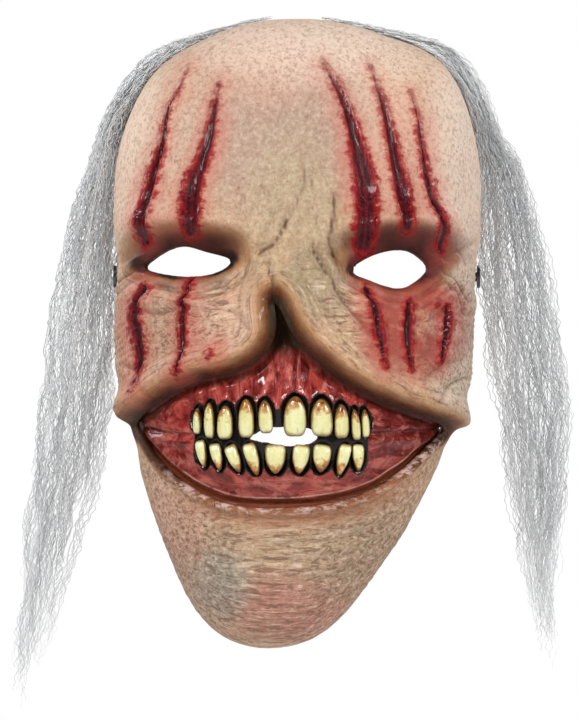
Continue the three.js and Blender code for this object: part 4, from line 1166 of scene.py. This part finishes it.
def hair_paint():
    p = Paint("silver grey hair")
    p.color = p.mix(p.field("tone"), (0.40, 0.415, 0.425), (0.98, 0.99, 1.0))
    p.lay((0.96, 0.97, 0.98), p.step(p.noise(60, 3, 0.6, stretch=(1, 1, 0.3)), 0.45, 0.7), 0.6)
    return p.finish(rough=0.5, sheen=0.8, sheen_rough=0.45, specular=0.35)


def build_hair(name, curtain, tree, ids, material):
    """The hair of one side in several pieces, each bending from the mask to the hanging body."""
    lowest, short = curtain["edges"][-1][0], curtain["shortest"]
    pieces = [("front", 0.0, 0.5, 14, 5), ("middle", 0.35, 0.75, 12, 4), ("rear", 0.55, 1.0, 12, 4)]
    for k, (label, near, far, guides, copies) in enumerate(pieces):
        points, edges = [], []
        for g in range(guides):
            across = (g + 0.5) / guides + rng.uniform(-0.04, 0.04)
            across = min(max(across, 0.02), 0.97)
            depth = rng.uniform(near, far)
            start = rng.uniform(0.0, 0.9) ** 1.2 * (0.95 if across < 0.5 else 0.75)
            reach = short + (1 - short) * across ** 0.7 if g % 3 else 1.0 - 0.12 * rng.random()
            tip = HANG_TOP - (HANG_TOP - lowest) * min(1.0, reach * rng.uniform(0.88, 1.04))
            sway = (rng.uniform(0.6, 2.4), rng.uniform(34, 62), rng.uniform(0, math.tau))
            line = guide_line(curtain, across, depth, start, max(tip, lowest - 2), sway)
            edges += [(len(points) + i, len(points) + i + 1) for i in range(len(line) - 1)]
            points += line
        mesh = bpy.data.meshes.new("guides")
        mesh.from_pydata((np.array(points) * MM).tolist(), edges, [])
        hair = bpy.data.objects.new(f"hair_{name}_{label}", mesh)
        bpy.context.scene.collection.objects.link(hair)
        grow = hair.modifiers.new("strands", "NODES")
        grow.node_group = tree
        grow[ids["Strands per guide"]] = copies
        grow[ids["Seed"]] = 17 * k + (5 if name == "left" else 0)
        bake_modifiers(hair)
        keep_inside(hair)
        hair.data.shade_smooth()
        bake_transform(hair)
        if k == 0:
            cad = [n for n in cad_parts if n.startswith(f"hair_lock_{name}") or n == f"hair_crown_{name}"]
            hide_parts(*cad)


def keep_inside(obj, proud=9.0):
    """Pulls points that stand outside the part's box by more than a little back to it."""
    places = np.empty(len(obj.data.vertices) * 3, np.float32)
    obj.data.vertices.foreach_get("co", places)
    low, high = np.array(cad_box[0]) - proud * MM, np.array(cad_box[1]) + proud * MM
    obj.data.vertices.foreach_set("co", np.clip(places.reshape(-1, 3), low, high).astype(np.float32).ravel())
    obj.data.update()


# ---------------------------------------------------------------- strap and small parts
def woven_paint():
    p = Paint("woven elastic")
    uv = p.nodes.new("ShaderNodeUVMap")
    uv.uv_map = "weave"
    along, across = p.parts(uv.outputs[0])[:2]

    def wave(value, length):
        return p.plus(p.times(p.math("SINE", p.times(value, 2 * math.pi / length)), 0.5), 0.5)

    ribs = wave(across, 1.25)
    weave = p.times(p.plus(ribs, wave(p.plus(along, p.times(ribs, 0.35)), 0.9)), 0.5)
    fuzz = p.noise(1300, 3, 0.7)
    p.color = p.mix(weave, (0.006, 0.006, 0.007), (0.045, 0.045, 0.05))
    p.lay((0.11, 0.11, 0.12), p.step(fuzz, 0.52, 0.72), 0.35)
    height = p.plus(weave, p.times(fuzz, 0.3))
    return p.finish(rough=0.82, sheen=0.5, sheen_rough=0.4, normal=p.bump(height, 0.8, 0.3))


def build_strap():
    """The woven band: straight from each tab, round a rear corner and across the back, with soft selvedges."""
    width, thick, tab, reach, corner, tilt = 18.0, 1.45, 9.0, 105.0, 38.0, -16.0
    middle = 0.75  # from the CAD band's outside to the middle of its thickness
    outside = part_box("elastic_strap")[1][0] / MM - middle
    rear = reach - middle
    half = [(outside, -tab + 0.3)] + [(outside, y) for y in np.linspace(-4, rear - corner, 24)]
    half += [
        (outside - corner + corner * math.cos(t), rear - corner + corner * math.sin(t))
        for t in np.linspace(0, math.pi / 2, 25)[1:]
    ]
    half += [(x, rear) for x in np.linspace(outside - corner, 0, 14)[1:]]
    path = np.array(half + [(-x, y) for x, y in half[-2::-1]])
    along = np.gradient(path, axis=0)
    along /= np.linalg.norm(along, axis=1, keepdims=True)
    out = np.stack([along[:, 1], -along[:, 0]], 1)
    n, rows = 28, len(path)
    turn = (np.arange(n) + 0.5) / n * 2 * math.pi
    square = 0.42  # how square the band's section is: 1 is an ellipse
    across = np.sign(np.cos(turn)) * np.abs(np.cos(turn)) ** square * width / 2
    deep = np.sign(np.sin(turn)) * np.abs(np.sin(turn)) ** square * thick / 2
    deep = deep * np.where(np.abs(across) > width / 2 - 1.4, 1.0, 0.9)  # thicker selvedges
    points = np.stack([
        path[:, None, 0] + out[:, None, 0] * deep,
        path[:, None, 1] + out[:, None, 1] * deep,
        np.repeat(across[None], len(path), 0),
    ], -1).reshape(-1, 3)
    points = np.stack([points[:, 0], *leaning(points[:, 1], points[:, 2], -tilt)], 1)
    faces = [
        (i * n + j, i * n + (j + 1) % n, (i + 1) * n + (j + 1) % n, (i + 1) * n + j)
        for i in range(rows - 1) for j in range(n)
    ]
    faces += [tuple(range(n))[::-1], tuple(range((rows - 1) * n, rows * n))]
    strap = make_object("woven_strap", points, faces)
    tidy_mesh(strap)
    run = np.concatenate([[0], np.cumsum(np.linalg.norm(np.diff(path, axis=0), axis=1))])
    weave = strap.data.uv_layers.new(name="weave")
    for loop in strap.data.loops:
        weave.data[loop.index].uv = (run[loop.vertex_index // n], across[loop.vertex_index % n])
    bpy.ops.mesh.primitive_cylinder_add(radius=2.15 * MM, depth=0.3, vertices=32, rotation=(0, math.pi / 2, 0))
    drill = bpy.context.object
    hole = strap.modifiers.new("rivet hole", "BOOLEAN")
    hole.object = drill
    hole.operation = "DIFFERENCE"
    bake_modifiers(strap)
    bpy.data.objects.remove(drill)
    strap.data.shade_smooth()
    strap.data.materials.clear()
    strap.data.materials.append(woven_paint())
    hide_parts("elastic_strap")
    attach(strap, "strap")


def cloth_paint(name, light, dark, scale):
    p = Paint(name)
    warp = p.noise(scale, 3, 0.6, stretch=(1, 1, 0.12))
    weft = p.noise(scale, 3, 0.6, stretch=(0.12, 0.12, 1))
    weave = p.times(p.plus(warp, weft), 0.5)
    p.color = p.mix(p.step(weave, 0.38, 0.62), dark, light)
    p.lay(tuple(c * 0.6 for c in dark), p.step(p.noise(70, 3), 0.5, 0.7), 0.35)
    return p.finish(rough=0.9, sheen=0.3, normal=p.bump(weave, 0.7, 0.5))


def rivet_paint():
    p = Paint("blackened rivet metal")
    scuff = p.noise(420, 4, 0.65, stretch=(1, 3, 1))
    p.color = p.mix(p.step(p.noise(150, 3), 0.55, 0.75), (0.09, 0.088, 0.085), (0.22, 0.2, 0.18))
    rough = p.mix(p.step(scuff, 0.35, 0.7), grey(0.18), grey(0.42))
    return p.finish(rough=rough, metal=1.0, normal=p.bump(scuff, 0.15, 0.2))


def moulded_paint():
    p = Paint("moulded black plastic")
    grain = p.noise(1400, 2, 0.5)
    p.color = p.mix(p.step(p.noise(90, 3), 0.4, 0.7), (0.014, 0.014, 0.015), (0.03, 0.03, 0.032))
    rough = p.mix(p.step(grain, 0.4, 0.6), grey(0.38), grey(0.5))
    return p.finish(rough=rough, normal=p.bump(grain, 0.3, 0.12))


def dress(node, material):
    """Gives a piece that keeps its CAD mesh its own material."""
    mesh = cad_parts[node].data
    mesh.materials.clear()
    mesh.materials.append(material)


def build_small_parts():
    weft = cloth_paint("sewn weft band", (0.36, 0.36, 0.35), (0.2, 0.2, 0.2), 900)
    patch = cloth_paint("glued cotton patch", (0.58, 0.50, 0.38), (0.42, 0.34, 0.24), 1100)
    metal = rivet_paint()
    for side in ("right", "left"):
        dress(f"hair_weft_{side}", weft)
        dress(f"anchor_patch_{side}", patch)
        dress(f"strap_rivet_{side}", metal)
        dress(f"strap_washer_{side}", metal)
    dress("slide_adjuster", moulded_paint())


# ---------------------------------------------------------------- light, floor, camera
def area_light(name, at, size, power, color=(1, 1, 1), aim=(0, 0, -0.03)):
    data = bpy.data.lights.new(name, "AREA")
    data.shape = "DISK"
    data.size = size
    data.energy = power
    data.color = color
    lamp = bpy.data.objects.new(name, data)
    lamp.location = at
    lamp.rotation_euler = (Vector(aim) - Vector(at)).to_track_quat("-Z", "Y").to_euler()
    bpy.context.scene.collection.objects.link(lamp)


def build_studio():
    area_light("key", (-0.75, -1.15, 0.8), 0.45, 17)
    area_light("fill", (1.05, -1.1, 0.5), 0.45, 13.5)
    area_light("low fill", (-0.1, -1.4, -0.35), 0.8, 1.6)
    area_light("rim left", (-0.9, 0.7, 0.5), 0.5, 6)
    area_light("rim right", (0.9, 0.7, 0.6), 0.5, 6)
    world = bpy.data.worlds.new("studio")
    world.use_nodes = True
    nodes, links = world.node_tree.nodes, world.node_tree.links
    background = nodes["Background"]
    background.inputs["Color"].default_value = (0.9, 0.93, 1.0, 1)
    background.inputs["Strength"].default_value = 0.12
    seen = nodes.new("ShaderNodeBackground")
    seen.inputs["Color"].default_value = (1, 1, 1, 1)
    seen.inputs["Strength"].default_value = 1.0
    choose = nodes.new("ShaderNodeMixShader")
    links.new(nodes.new("ShaderNodeLightPath").outputs["Is Camera Ray"], choose.inputs[0])
    links.new(background.outputs[0], choose.inputs[1])
    links.new(seen.outputs[0], choose.inputs[2])
    links.new(choose.outputs[0], nodes["World Output"].inputs[0])
    scene = bpy.context.scene
    scene.world = world
    scene.view_settings.view_transform = "Standard"
    mesh = bpy.data.meshes.new("floor")
    bm = bmesh.new()
    bmesh.ops.create_circle(bm, cap_ends=True, segments=96, radius=0.8)
    bm.to_mesh(mesh)
    bm.free()
    floor = bpy.data.objects.new("floor", mesh)
    floor.location.z = cad_box[0][2] - 0.14
    scene.collection.objects.link(floor)
    paint = Paint("pale floor")
    paint.color = (0.8, 0.8, 0.8, 1)
    mesh.materials.append(paint.finish(rough=0.8, specular=0.2))


def build_camera():
    distance = 2400.0
    aim = Vector((-3.5, 0.0, -37.0))
    seen_height = 313.2  # at the face's reference plane
    reference_y = -50.0
    data = bpy.data.cameras.new("camera")
    data.sensor_width = 36
    data.lens = 36 * distance / seen_height
    data.clip_end = 50
    camera = bpy.data.objects.new("camera", data)
    camera.location = Vector((aim.x, reference_y - distance, aim.z)) * MM
    camera.rotation_euler = (math.radians(90), 0, 0)
    bpy.context.scene.collection.objects.link(camera)
    bpy.context.scene.camera = camera


build_camera()
build_studio()
build_skin()
build_gum()
tooth_finish = tooth_paint()
build_teeth("upper_teeth", UPPER_TEETH, True, tooth_finish)
build_teeth("lower_teeth", LOWER_TEETH, False, tooth_finish)
hair_finish = hair_paint()
strand_tree, strand_ids = crimp_nodes(hair_finish)
for side_name, side_curtain in CURTAINS.items():
    build_hair(side_name, side_curtain, strand_tree, strand_ids, hair_finish)
build_strap()
build_small_parts()
